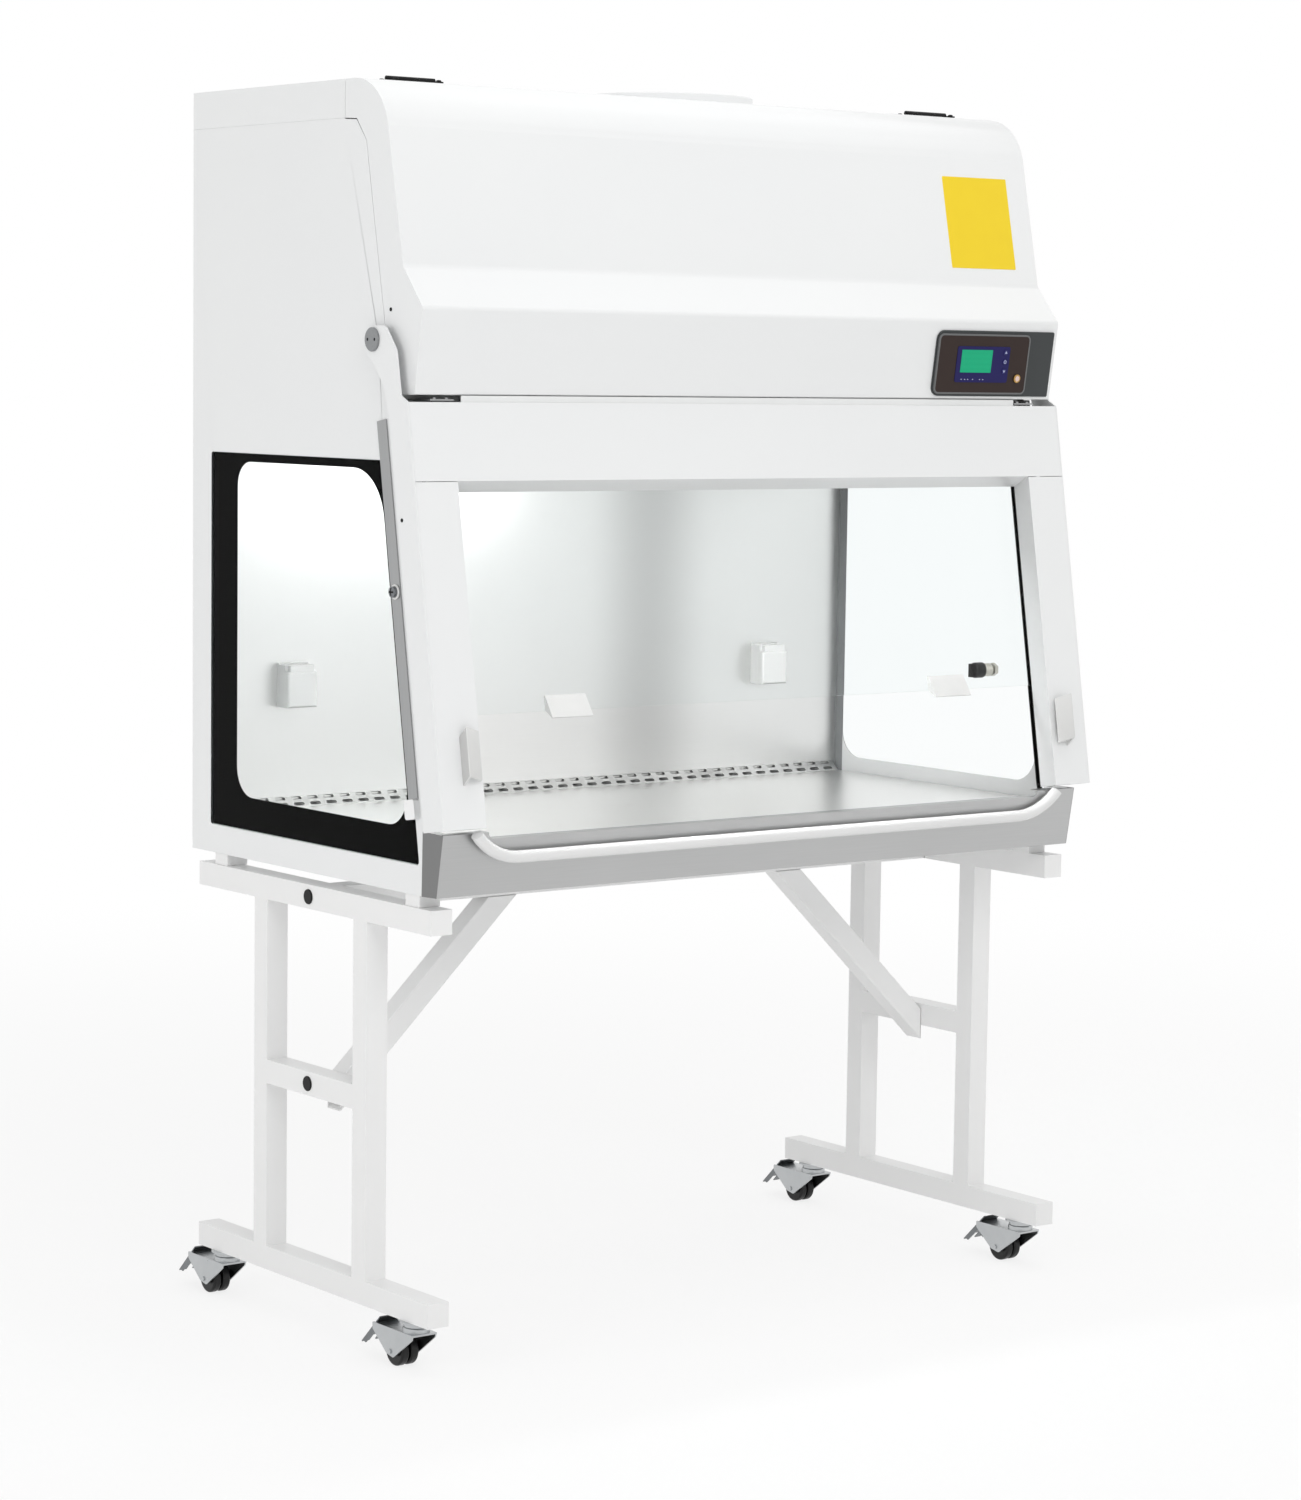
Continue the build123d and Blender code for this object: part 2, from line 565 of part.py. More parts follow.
PAN_FLOOR_Z = BASE_Z + 28
PAN_TOP = TRAY_Z - SHEET
pan_front = APRON_TOP_Y + 25
pan_half = CHAMBER_HALF + 5
pan_wall_z = (PAN_FLOOR_Z + SHEET, PAN_TOP)
pan_floor = block((-pan_half, pan_half), (pan_front, BACK_WALL_Y), (PAN_FLOOR_Z, PAN_FLOOR_Z + SHEET))
pan_walls = [
    block((-pan_half, pan_half), (pan_front, pan_front + SHEET), pan_wall_z),
    block((-pan_half, pan_half), (BACK_WALL_Y - SHEET, BACK_WALL_Y), pan_wall_z),
    *both_sides(block((pan_half - SHEET, pan_half), (pan_front + SHEET, BACK_WALL_Y - SHEET), pan_wall_z)),
]
pan_rails = [
    block((x - 15, x + 15), (BASE_FRONT + 20, CABINET_REAR - 60), (BASE_Z + SHEET, PAN_FLOOR_Z))
    for x in (-CHAMBER_HALF + 40, 0, CHAMBER_HALF - 40)
]
save("drain_pan", pan_floor, *pan_walls, *pan_rails)

tray_top = block((-CHAMBER_HALF, CHAMBER_HALF), (TRAY_FRONT, TRAY_REAR), (TRAY_Z - SHEET, TRAY_Z))
folds = [
    block((-CHAMBER_HALF + 8, CHAMBER_HALF - 8), (y, y + SHEET), (TRAY_Z - 14, TRAY_Z - SHEET))
    for y in (TRAY_FRONT + 6, TRAY_REAR - 8)
]
save("work_tray", tray_top + folds[0] + folds[1])


def slot_row(plate, along, row_places, thickness):
    """Cuts rows of round-ended slots through a flat plate; along is the plate's own frame."""
    count = int((2 * CHAMBER_HALF - SLOT_LENGTH) // SLOT_PITCH)
    cutter = extrude(SlotOverall(SLOT_LENGTH, SLOT_WIDTH), thickness * 3, both=True)
    for place in row_places:
        plate = plate - [along * Pos((i - count / 2) * SLOT_PITCH, place, 0) * cutter for i in range(count + 1)]
    return plate


ramp_run = BACK_WALL_Y - TRAY_REAR - TOUCH
ramp_angle = degrees(atan2(RAMP_HEIGHT, ramp_run))
ramp_length = hypot(RAMP_HEIGHT, ramp_run)
ramp_frame = Pos(0, TRAY_REAR + TOUCH, TRAY_Z) * Rot(X=ramp_angle)
ramp = ramp_frame * block((-CHAMBER_HALF, CHAMBER_HALF), (0, ramp_length - 2 * RAMP_SHEET), (-RAMP_SHEET, 0))
ramp_rows = [ramp_length / 2 - SLOT_ROW_PITCH / 2, ramp_length / 2 + SLOT_ROW_PITCH / 2]
ramp = slot_row(ramp, ramp_frame, ramp_rows, RAMP_SHEET)
ramp_foot = block((-CHAMBER_HALF, CHAMBER_HALF), (TRAY_REAR + TOUCH, TRAY_REAR + 4), (TRAY_Z - SHEET, TRAY_Z))
ramp = ramp + ramp_foot
grille_front = pan_front + SHEET + TOUCH
grille = block((-CHAMBER_HALF, CHAMBER_HALF), (grille_front, TRAY_FRONT - TOUCH), (TRAY_Z - SHEET, TRAY_Z))
grille_middle = (grille_front + TRAY_FRONT) / 2
grille_frame = Pos(0, grille_middle, TRAY_Z)
grille = slot_row(grille, grille_frame, [-SLOT_ROW_PITCH, SLOT_ROW_PITCH], SHEET)
save("air_grilles", ramp, grille)

ceiling = block((-wall_half, wall_half), (depth_y(CEILING_Z, SIDE_FRONT_DEPTH) + 6, BACK_WALL_Y + SHEET),
                (CEILING_Z, CEILING_Z + SHEET))
save("ceiling_diffuser", ceiling)

# ---------------------------------------------------------------- apron, sill and armrest
APRON_TOP = BASE_Z + APRON_TOP_H
apron_side = [
    (BASE_FRONT - TOUCH, BASE_Z),
    (APRON_FOOT_Y, BASE_Z + 1.5, 1.2),
    (APRON_TOP_Y, APRON_TOP, 1.2),
    (base_front_y(APRON_TOP) - TOUCH, APRON_TOP),
]
apron = prism(apron_side, (-APRON_HALF, APRON_HALF))
apron_inner = [
    (BASE_FRONT + 5, BASE_Z + SHEET),
    (APRON_FOOT_Y + SHEET, BASE_Z + SHEET),
    (APRON_TOP_Y + SHEET, APRON_TOP - SHEET),
    (base_front_y(APRON_TOP) + 5, APRON_TOP - SHEET),
]
apron -= prism(apron_inner, (-APRON_HALF + SHEET, APRON_HALF - SHEET))
NOTCH_Z = BASE_Z + NOTCH_H
notch_face = Plane.XZ * outline([
    (-NOTCH_HALF, APRON_TOP + 40), (-NOTCH_HALF, NOTCH_Z, NOTCH_RADIUS * 0.4),
    (NOTCH_HALF, NOTCH_Z, NOTCH_RADIUS * 0.4), (NOTCH_HALF, APRON_TOP + 40),
])
notch = Pos(0, BASE_FRONT - 20, 0) * extrude(notch_face, 100)
well = block((-APRON_HALF + 20, APRON_HALF - 20), (pan_front - 3, BASE_FRONT + 10), (NOTCH_Z - 30, APRON_TOP + 5))
apron = apron - notch - well


def apron_face_y(z):
    """The apron's front face at height z."""
    foot_z = BASE_Z + 1.5
    return APRON_FOOT_Y + (APRON_TOP_Y - APRON_FOOT_Y) * (z - foot_z) / (APRON_TOP - foot_z)


sill_half = NOTCH_HALF - SHEET
sill_front = apron_face_y(NOTCH_Z) + SHEET + 0.2
sill_lip = block((-sill_half, sill_half), (sill_front, pan_front), (NOTCH_Z - SHEET, NOTCH_Z))
sill_leg = block((-sill_half, sill_half), (pan_front - SHEET, pan_front), (TRAY_Z - SHEET, NOTCH_Z))
save("apron", apron, sill_lip + sill_leg)

face_lean = degrees(atan2(APRON_FOOT_Y - APRON_TOP_Y, APRON_TOP_H - 1.5))
rest_plane = Plane(origin=(0, apron_face_y(BASE_Z + ARMREST_H), BASE_Z + ARMREST_H), x_dir=(1, 0, 0),
                   z_dir=(0, -cos(radians(face_lean)), -sin(radians(face_lean))))
rise = (ARMREST_TOP_H - ARMREST_H) / cos(radians(face_lean))
sweep_angle = degrees(atan2((ARMREST_BEND**2 - (ARMREST_BEND - rise) ** 2) ** 0.5, ARMREST_BEND - rise))
straight = Line((-ARMREST_STRAIGHT, 0), (ARMREST_STRAIGHT, 0))
right_bend = CenterArc((ARMREST_STRAIGHT, ARMREST_BEND), ARMREST_BEND, -90, sweep_angle)
left_bend = CenterArc((-ARMREST_STRAIGHT, ARMREST_BEND), ARMREST_BEND, -90 - sweep_angle, sweep_angle)
path = left_bend + straight + right_bend
bar_start = path.wires()[0] if path.wires() else path
section_plane = Plane(origin=bar_start @ 0, z_dir=bar_start % 0)
bar = sweep(section_plane * Circle(ARMREST_RADIUS), path=bar_start)
lift = ARMREST_RADIUS + ARMREST_STANDOFF
armrest = Pos(0, 0, lift) * bar
for stud_x in (-ARMREST_STRAIGHT, -ARMREST_STRAIGHT / 2, 0, ARMREST_STRAIGHT / 2, ARMREST_STRAIGHT):
    armrest += rod(ARMREST_RADIUS * 0.5, (stud_x, 0, 0), (stud_x, 0, lift))
armrest = rest_plane.location * armrest
save("armrest", armrest)

# ---------------------------------------------------------------- plenum behind the hood
bulkhead_front = [
    (CHEEK_FOOT_Y + 5, CEILING_Z + SHEET),
    (CHEEK_FOOT_Y + 5, LIP_Z),
    (CHEEK_HEAD[0] + 6, BASE_Z + CHEEK_HEAD[1]),
    (HOOD_SEAM_Y + 6, CAP_Z),
    (HOOD_SEAM_Y + 6, TOP_Z - SHEET),
]
bulkhead_back = [(y + SHEET * 1.1, z) for y, z in reversed(bulkhead_front)]
save("front_bulkhead", prism(bulkhead_front + bulkhead_back, (-BULKHEAD_HALF, BULKHEAD_HALF)))


def filter_box(xs, ys, zs, rim):
    """A filter: a stiff frame with a recessed media pack on both faces."""
    case = block(xs, ys, zs)
    inner_x = (xs[0] + rim, xs[1] - rim)
    inner_y = (ys[0] + rim, ys[1] - rim)
    case -= block(inner_x, inner_y, (zs[0] - 1, zs[0] + 6))
    case -= block(inner_x, inner_y, (zs[1] - 6, zs[1] + 1))
    return case


FILTER_Z = CEILING_Z + SHEET
filter_y = (CHEEK_FOOT_Y + 12, BACK_WALL_Y)
supply = filter_box((-CHAMBER_HALF, CHAMBER_HALF), filter_y, (FILTER_Z, FILTER_Z + FILTER_HEIGHT), 20)
exhaust_half = COLLAR_RADIUS + 30
exhaust_z = TOP_Z - SHEET - FILTER_HEIGHT
exhaust = filter_box((COLLAR_X - exhaust_half, COLLAR_X + exhaust_half),
                     (COLLAR_Y - exhaust_half, COLLAR_Y + exhaust_half), (exhaust_z, TOP_Z - SHEET), 20)
save("hepa_filters", supply, exhaust)

DECK_Z = BASE_Z + DECK_H
deck = block((-CHAMBER_HALF, CHAMBER_HALF), filter_y, (FILTER_Z + FILTER_HEIGHT, DECK_Z + SHEET))
deck -= block((-CHAMBER_HALF + SHEET, CHAMBER_HALF - SHEET), (filter_y[0] + SHEET, filter_y[1] - SHEET),
              (FILTER_Z + FILTER_HEIGHT - 1, DECK_Z))
scroll_z = (DECK_Z + SHEET, DECK_Z + SHEET + SCROLL_HEIGHT)
scroll = block((FAN_X - FAN_RADIUS - SCROLL_GAP - SCROLL_OUTLET, FAN_X + FAN_RADIUS + SCROLL_GAP),
               (FAN_Y - FAN_RADIUS - SCROLL_GAP, FAN_Y + FAN_RADIUS + SCROLL_GAP), scroll_z)
scroll = fillet(scroll.edges().filter_by(Axis.Z), SCROLL_CORNER)
fan_at = Pos(FAN_X, FAN_Y, scroll_z[0])
floor_sheet = 2 * SHEET
scroll -= fan_at * rod(FAN_RADIUS + SCROLL_GAP - floor_sheet, (0, 0, floor_sheet), (0, 0, SCROLL_HEIGHT * 2))
hub_foot = MOTOR_HEIGHT + 2 * SHEET
blade_foot = hub_foot + SHEET
blade_head = blade_foot + BLADE_HEIGHT
shaft_head = MOTOR_HEIGHT + BLADE_HEIGHT - 3
motor = fan_at * (rod(MOTOR_RADIUS, (0, 0, floor_sheet), (0, 0, MOTOR_HEIGHT))
                  + rod(SHAFT_RADIUS, (0, 0, MOTOR_HEIGHT), (0, 0, shaft_head)))
save("fan_housing", deck, scroll + motor)

back_plate = rod(FAN_RADIUS, (0, 0, hub_foot), (0, 0, hub_foot + SHEET * 1.5))
hub = rod(HUB_RADIUS, (0, 0, hub_foot), (0, 0, shaft_head - 3)) + back_plate
for i in range(FAN_BLADES):
    blade = Rot(Z=360 / FAN_BLADES * i) * Pos(FAN_RADIUS - BLADE_CHORD / 2 - SHEET, 0, 0) * Rot(Z=35)
    hub += blade * block((-BLADE_CHORD / 2, BLADE_CHORD / 2), (-SHEET * 0.75, SHEET * 0.75), (blade_foot, blade_head))
rim_hole = rod(FAN_RADIUS - MOTOR_RADIUS, (0, 0, blade_head - 3), (0, 0, blade_head + 1))
rim = rod(FAN_RADIUS, (0, 0, blade_head - SHEET), (0, 0, blade_head)) - rim_hole
hub = (hub & rod(FAN_RADIUS, (0, 0, MOTOR_HEIGHT), (0, 0, SCROLL_HEIGHT))) + rim
hub -= rod(SHAFT_RADIUS + RUNNING, (0, 0, MOTOR_HEIGHT), (0, 0, SCROLL_HEIGHT))
save("fan_impeller", fan_at * hub)

lamp_top = CEILING_Z
lamp_y = depth_y(CEILING_Z, SIDE_FRONT_DEPTH) + 8
lamp_half = JAMB_INNER_X + 20
lamp_rear = lamp_y + LAMP_DEPTH
lamp_case = prism([
    (lamp_y, lamp_top - LAMP_FRONT_DROP),
    (lamp_y, lamp_top),
    (lamp_rear, lamp_top),
    (lamp_rear, lamp_top - LAMP_REAR_DROP),
    (lamp_rear - SHEET, lamp_top - LAMP_REAR_DROP),
    (lamp_rear - SHEET, lamp_top - SHEET),
    (lamp_y + SHEET, lamp_top - SHEET),
    (lamp_y + SHEET, lamp_top - LAMP_FRONT_DROP),
], (-lamp_half, lamp_half))
lamp_ends = [
    block((x, x + SHEET), (lamp_y + SHEET, lamp_rear - SHEET), (lamp_top - LAMP_REAR_DROP, lamp_top - SHEET))
    for x in (-lamp_half, lamp_half - SHEET)
]
tube_z = lamp_top - 26
lamp_tube = rod(13, (-lamp_half + SHEET, lamp_y + LAMP_DEPTH / 2 - 1, tube_z),
                (lamp_half - SHEET, lamp_y + LAMP_DEPTH / 2 - 1, tube_z))
save("lamp_housing", lamp_case + lamp_ends[0] + lamp_ends[1], lamp_tube)

# ---------------------------------------------------------------- services
socket_front = BACK_WALL_Y - SOCKET_DEPTH
PIN_Y = socket_front + 5
PIN_Z = BASE_Z + SOCKET_H[1] + 6
LID_PIN = 3.0


def socket_box(x):
    """A power socket's case with two ears that hold the lid's pin."""
    half = SOCKET_WIDTH / 2
    z0 = BASE_Z + SOCKET_H[0]
    z1 = BASE_Z + SOCKET_H[1]
    case = block((x - half, x + half), (socket_front, BACK_WALL_Y), (z0, z1))
    case -= block((x - half + 8, x + half - 8), (socket_front - 1, socket_front + 14), (z0 + 8, z1 - 8))
    case += block((x - half, x + half), (BACK_WALL_Y - 6, BACK_WALL_Y), (z0, z1 + 14))
    for ear_x in ((x - half, x - half + 6), (x + half - 6, x + half)):
        case += block(ear_x, (PIN_Y - 5, BACK_WALL_Y - 6), (z1, z1 + 11))
    case += rod(LID_PIN, (x - half, PIN_Y, PIN_Z), (x + half, PIN_Y, PIN_Z))
    return case


def socket_lid(x):
    """The lid: a domed flap with a knuckle on the pin."""
    half = SOCKET_WIDTH / 2
    z0 = BASE_Z + SOCKET_H[0]
    z1 = BASE_Z + SOCKET_H[1]
    front = socket_front - TOUCH - LID_THICKNESS
    flap = block((x - half, x + half), (front, socket_front - TOUCH), (z0, z1))
    flap = fillet(flap.edges().group_by(Axis.Y)[0], 4)
    neck = block((x - half + 6 + TOUCH, x + half - 6 - TOUCH), (front + 3, PIN_Y), (z1 - 6, z1 + 11))
    neck -= block((x - half, x + half), (socket_front - TOUCH, PIN_Y + 10), (z0, z1 + 1))
    knuckle = rod(5, (x - half + 6 + TOUCH, PIN_Y, PIN_Z), (x + half - 6 - TOUCH, PIN_Y, PIN_Z))
    bore = rod(LID_PIN + RUNNING, (x - half, PIN_Y, PIN_Z), (x + half, PIN_Y, PIN_Z))
    return flap + neck + knuckle - bore


save("socket_boxes", *[socket_box(x) for x in SOCKET_X])
save("socket_lid_left", socket_lid(SOCKET_X[0]))
save("socket_lid_right", socket_lid(SOCKET_X[1]))

stem_radius = VALVE_RADIUS / 2 - TOUCH
valve_in = GLASS_INNER - TOUCH
valve = rod(VALVE_RADIUS, (valve_in - 18, *valve_at), (valve_in, *valve_at))
valve += rod(stem_radius, (valve_in - 36, *valve_at), (HALF + 12, *valve_at))
valve += extrude(Plane(origin=(HALF + TOUCH, *valve_at), z_dir=(1, 0, 0)) * RegularPolygon(VALVE_RADIUS, 6), 8)
save("service_valve", valve)
knob_x = (valve_in - 38, valve_in - 18 - TOUCH)
valve_knob = rod(VALVE_KNOB_RADIUS, (knob_x[0], *valve_at), (knob_x[1], *valve_at))
valve_knob = fillet(valve_knob.edges().filter_by(GeomType.CIRCLE).sort_by(Axis.X)[0], 4)
grip_bar = block((knob_x[0] - 8, knob_x[0] + 1), (VALVE_Y - 4, VALVE_Y + 4),
                 (valve_at[1] - VALVE_KNOB_RADIUS + 2, valve_at[1] + VALVE_KNOB_RADIUS - 2))
valve_knob += grip_bar
valve_knob -= rod(stem_radius + RUNNING, (knob_x[0] + 1, *valve_at), (knob_x[1] + 1, *valve_at))
save("service_knob", valve_knob)

# ---------------------------------------------------------------- hood
hood_profile = outline([
    (HOOD_SEAM_Y, TOP_Z),
    (HOOD_FACE_TOP_Y, TOP_Z, HOOD_TOP_RADIUS),
    (LEDGE_Y, BASE_Z + LEDGE_H, 18),
    (NOSE_Y, BASE_Z + NOSE_H, 9),
    (LIP_Y, LIP_Z, 3),
    (CHEEK_FOOT_Y, LIP_Z),
    (CHEEK_KNEE[0], BASE_Z + CHEEK_KNEE[1]),
    (CHEEK_HEAD[0], BASE_Z + CHEEK_HEAD[1]),
    (CHEEK_STEP_Y, CAP_Z - SHEET),
    (HOOD_SEAM_Y, CAP_Z),
])
hood = prism(hood_profile, (-HALF, HALF))
hollow = prism(offset(hood_profile, -SHEET), (-INSIDE, INSIDE))
hood = hood - hollow - Pos(0, 2 * SHEET, 0) * hollow - Pos(0, 4 * SHEET, 0) * hollow

PANEL_FACE = BEZEL_SHEET + PANEL_SHEET


def on_face(xs, vs, outs, radii):
    """A plate on the hood's lower face; outs are distances in front of that face."""
    corners = [
        (xs[0], vs[0], radii[0]), (xs[1], vs[0], radii[1]),
        (xs[1], vs[1], radii[1]), (xs[0], vs[1], radii[0]),
    ]
    plate = extrude(Plane.XZ * outline(corners), outs[1] - outs[0])
    return HOOD_FACE * Pos(0, -outs[0], 0) * plate


def face_rod(radius, x, v, outs):
    """A round piece square to the hood's lower face."""
    return HOOD_FACE * rod(radius, (x, -outs[0], v), (x, -outs[1], v))


bezel = on_face(BEZEL_X, BEZEL_V, (0, BEZEL_SHEET), (16, 3))
panel = on_face(PANEL_X, PANEL_V, (BEZEL_SHEET, PANEL_FACE), (8, 8))
display = on_face(DISPLAY_X, DISPLAY_V, (PANEL_FACE, PANEL_FACE + DISPLAY_SHEET), (4, 4))
for button_v in BUTTON_V:
    button_hole = face_rod(BUTTON_RADIUS + TOUCH, BUTTON_X, button_v, (BEZEL_SHEET, PANEL_FACE + 5))
    panel -= button_hole
    display -= button_hole
panel -= face_rod(KEY_RADIUS + RUNNING, KEY_X, KEY_V, (BEZEL_SHEET, PANEL_FACE + 1))
save("hood_shell", hood)
save("control_bezel", bezel)
save("control_panel", panel)
save("display", display)
for button_name, button_v in zip(("up", "enter", "down"), BUTTON_V):
    button = face_rod(BUTTON_RADIUS, BUTTON_X, button_v, (BEZEL_SHEET + BUTTON_TRAVEL + 0.1, PANEL_FACE + 2.4))
    button = fillet(button.edges().filter_by(GeomType.CIRCLE).sort_by(Axis.Y)[0], 0.7)
    save(f"button_{button_name}", button)
key = face_rod(KEY_RADIUS, KEY_X, KEY_V, (BEZEL_SHEET + 0.1, PANEL_FACE + 3))
key = fillet(key.edges().filter_by(GeomType.CIRCLE).sort_by(Axis.Y)[0], 1)
key -= HOOD_FACE * block((KEY_X - 1, KEY_X + 1), (-PANEL_FACE - 4, -PANEL_FACE - 0.5), (KEY_V - 4, KEY_V + 4))
save("key_switch", key)

# ---------------------------------------------------------------- hood hinges
PIN_AXIS_Y = HOOD_SEAM_Y + SEAM / 2
PIN_AXIS_Z = TOP_Z + HINGE_RISE


def barrel(x0, x1, radius):
    """A length of hinge barrel on the hood's pin."""
    return rod(radius, (x0, PIN_AXIS_Y, PIN_AXIS_Z), (x1, PIN_AXIS_Y, PIN_AXIS_Z))


def hinge_leaf(x0, x1, side):
    """A leaf on the top sheet with its web up to the barrel."""
    far = PIN_AXIS_Y + side * 27
    near = PIN_AXIS_Y + side * 4.5
    web = block((x0, x1), (PIN_AXIS_Y, far), (TOP_Z, TOP_Z + HINGE_LEAF))
    return web - block((x0, x1), (PIN_AXIS_Y - 40, PIN_AXIS_Y + 40), (TOP_Z - 1, TOP_Z + 0.5)) \
        + block((x0, x1), (near, far), (TOP_Z, TOP_Z + HINGE_LEAF))


hinge_bases = []
hinge_leaves = []
third = HINGE_WIDTH / 3
left_edge = HINGE_X - HINGE_WIDTH / 2
middle = (left_edge + third + TOUCH, left_edge + 2 * third - TOUCH)
base = hinge_leaf(middle[0], middle[1], 1) + barrel(middle[0], middle[1], HINGE_BARREL)
base += block((left_edge, left_edge + HINGE_WIDTH), (PIN_AXIS_Y + HINGE_BARREL + 2, PIN_AXIS_Y + 27),
              (TOP_Z, TOP_Z + HINGE_LEAF))
base += barrel(left_edge - 1, left_edge + HINGE_WIDTH + 1, HINGE_PIN)
hinge_bases += both_sides(base)
for x0, x1 in ((left_edge, left_edge + third), (left_edge + 2 * third, left_edge + HINGE_WIDTH)):
    leaf = hinge_leaf(x0, x1, -1) + barrel(x0, x1, HINGE_BARREL)
    hinge_leaves.append(leaf)
joined = hinge_leaves[0] + hinge_leaves[1]
joined += block((left_edge, left_edge + HINGE_WIDTH), (PIN_AXIS_Y - 27, PIN_AXIS_Y - HINGE_BARREL - 2),
                (TOP_Z, TOP_Z + HINGE_LEAF))
joined -= barrel(left_edge - 2, left_edge + HINGE_WIDTH + 2, HINGE_PIN + RUNNING)
save("hood_hinge_bases", *hinge_bases)
save("hood_hinge_leaves", *both_sides(joined))

# ---------------------------------------------------------------- front frame
ARM_X = (HALF + ARM_STANDOFF, HALF + ARM_STANDOFF + ARM_SHEET)
FACE_HALF = ARM_X[0]


def frame_block(xs, depths, drops):
    """A box in the tilted frame: x, depth behind the face and drop from its top edge."""
    return FRAME * block(xs, depths, (-drops[1], -drops[0]))


header = block((-FACE_HALF, FACE_HALF), (0, SHEET), (-HEADER_DROP, 0))
header += block((-FACE_HALF, FACE_HALF), (0, 9), (-SHEET, 0))
splay_foot = HEADER_DROP + HEADER_SPLAY
splay = prism([(0, -HEADER_DROP), (RETURN_DEPTH, -splay_foot), (RETURN_DEPTH, -splay_foot + SHEET * 1.1),
               (0, -HEADER_DROP + SHEET * 1.1)], (-JAMB_INNER_X, JAMB_INNER_X))
header = FRAME * (header + splay)
jamb_x = (JAMB_INNER_X, FACE_HALF)
jamb_top = HEADER_DROP + 1
jamb = block(jamb_x, (0, SHEET), (-FRAME_LENGTH, -jamb_top))
jamb += block((JAMB_INNER_X, JAMB_INNER_X + SHEET), (0, RETURN_DEPTH), (-FRAME_LENGTH, -jamb_top))
jamb += block((JAMB_INNER_X, JAMB_INNER_X + TRACK_WIDTH), (RETURN_DEPTH - SHEET, RETURN_DEPTH),
              (-FRAME_LENGTH, -PANE_TOP_DROP))
jamb += block(jamb_x, (0, RETURN_DEPTH), (-FRAME_LENGTH, -FRAME_LENGTH + SHEET))
jamb = FRAME * jamb


def arm_outline():
    """A side plate: the flange beside the jamb, swept up into the arm that reaches the pivot."""
    top = FRAME_TOP_Z
    foot_front = (FRAME_TOP_Y - FRAME_LENGTH * TILT_SIN, top - FRAME_LENGTH * TILT_COS)
    foot_rear = (foot_front[0] + FLANGE_DEPTH * TILT_COS, foot_front[1] - FLANGE_DEPTH * TILT_SIN)
    rear_z = top - 24
    return outline([
        (FRAME_TOP_Y, top),
        (PIVOT_Y - 79, top + 10, 6),
        (PIVOT_Y - 66, PIVOT_Z - 16, 24),
        (PIVOT_Y - 34, PIVOT_Z + 22, 18),
        (PIVOT_Y + 24, PIVOT_Z + 22, 20),
        (PIVOT_Y + 30, PIVOT_Z - 15, 12),
        (PIVOT_Y + 2, PIVOT_Z - 35, 20),
        (PIVOT_Y - 31, PIVOT_Z - 72, 40),
        (depth_y(rear_z, FLANGE_DEPTH), rear_z, 30),
        foot_rear,
        foot_front,
    ])


side_plate = prism(arm_outline(), ARM_X)
side_plate -= rod(PIVOT_RADIUS + RUNNING, (ARM_X[0] - 1, PIVOT_Y, PIVOT_Z), (ARM_X[1] + 1, PIVOT_Y, PIVOT_Z))
save("front_frame", header, *both_sides(jamb), *both_sides(side_plate))

stud = rod(PIVOT_RADIUS, (HALF - SHEET - 4, PIVOT_Y, PIVOT_Z), (ARM_X[1] + 1, PIVOT_Y, PIVOT_Z))
stud += rod(PIVOT_RADIUS * 1.45, (HALF, PIVOT_Y, PIVOT_Z), (ARM_X[0] - TOUCH, PIVOT_Y, PIVOT_Z))
stud += rod(PIVOT_RADIUS * 1.45, (HALF - SHEET - 8, PIVOT_Y, PIVOT_Z), (HALF - SHEET, PIVOT_Y, PIVOT_Z))
head_x = (ARM_X[1] + TOUCH, ARM_X[1] + 4)
head = rod(PIVOT_HEAD_RADIUS, (head_x[0], PIVOT_Y, PIVOT_Z), (head_x[1], PIVOT_Y, PIVOT_Z))
head = chamfer(head.edges().filter_by(GeomType.CIRCLE).sort_by(Axis.X)[-1], 1)
for hole_y in (-10, 10):
    head -= rod(2.5, (head_x[0] + 1, PIVOT_Y + hole_y, PIVOT_Z), (head_x[1] + 1, PIVOT_Y + hole_y, PIVOT_Z))
save("pivot_studs", *both_sides(stud + head))

KNOB_DEPTH = STRIP_DEPTH + STRIP_WIDTH / 2
knob_y = FRAME_TOP_Y - KNOB_DROP * TILT_SIN + KNOB_DEPTH * TILT_COS
knob_z = FRAME_TOP_Z - KNOB_DROP * TILT_COS - KNOB_DEPTH * TILT_SIN
knob_base = HALF + STRIP_SHEET + TOUCH
knob = rod(KNOB_RADIUS, (knob_base, knob_y, knob_z), (knob_base + KNOB_LENGTH, knob_y, knob_z))
knob = chamfer(knob.edges().filter_by(GeomType.CIRCLE).sort_by(Axis.X)[-1], 1.5)
knob -= block((knob_base + KNOB_LENGTH - 3, knob_base + KNOB_LENGTH + 1), (knob_y - 1.2, knob_y + 1.2),
              (knob_z - KNOB_RADIUS, knob_z + KNOB_RADIUS))
right_knob, left_knob = both_sides(knob)
save("lock_knob_left", left_knob)
save("lock_knob_right", right_knob)

GRIP_DROPS = (509.0, 600.0)
grip_face = outline([(JAMB_INNER_X + 7, 0), (JAMB_INNER_X + 9, -21, 4), (JAMB_INNER_X + 36, -19, 4),
                     (JAMB_INNER_X + 53, 0)])
grip = FRAME * Pos(0, 0, -GRIP_DROPS[1]) * extrude(grip_face, GRIP_DROPS[1] - GRIP_DROPS[0])
save("grips", *both_sides(grip))

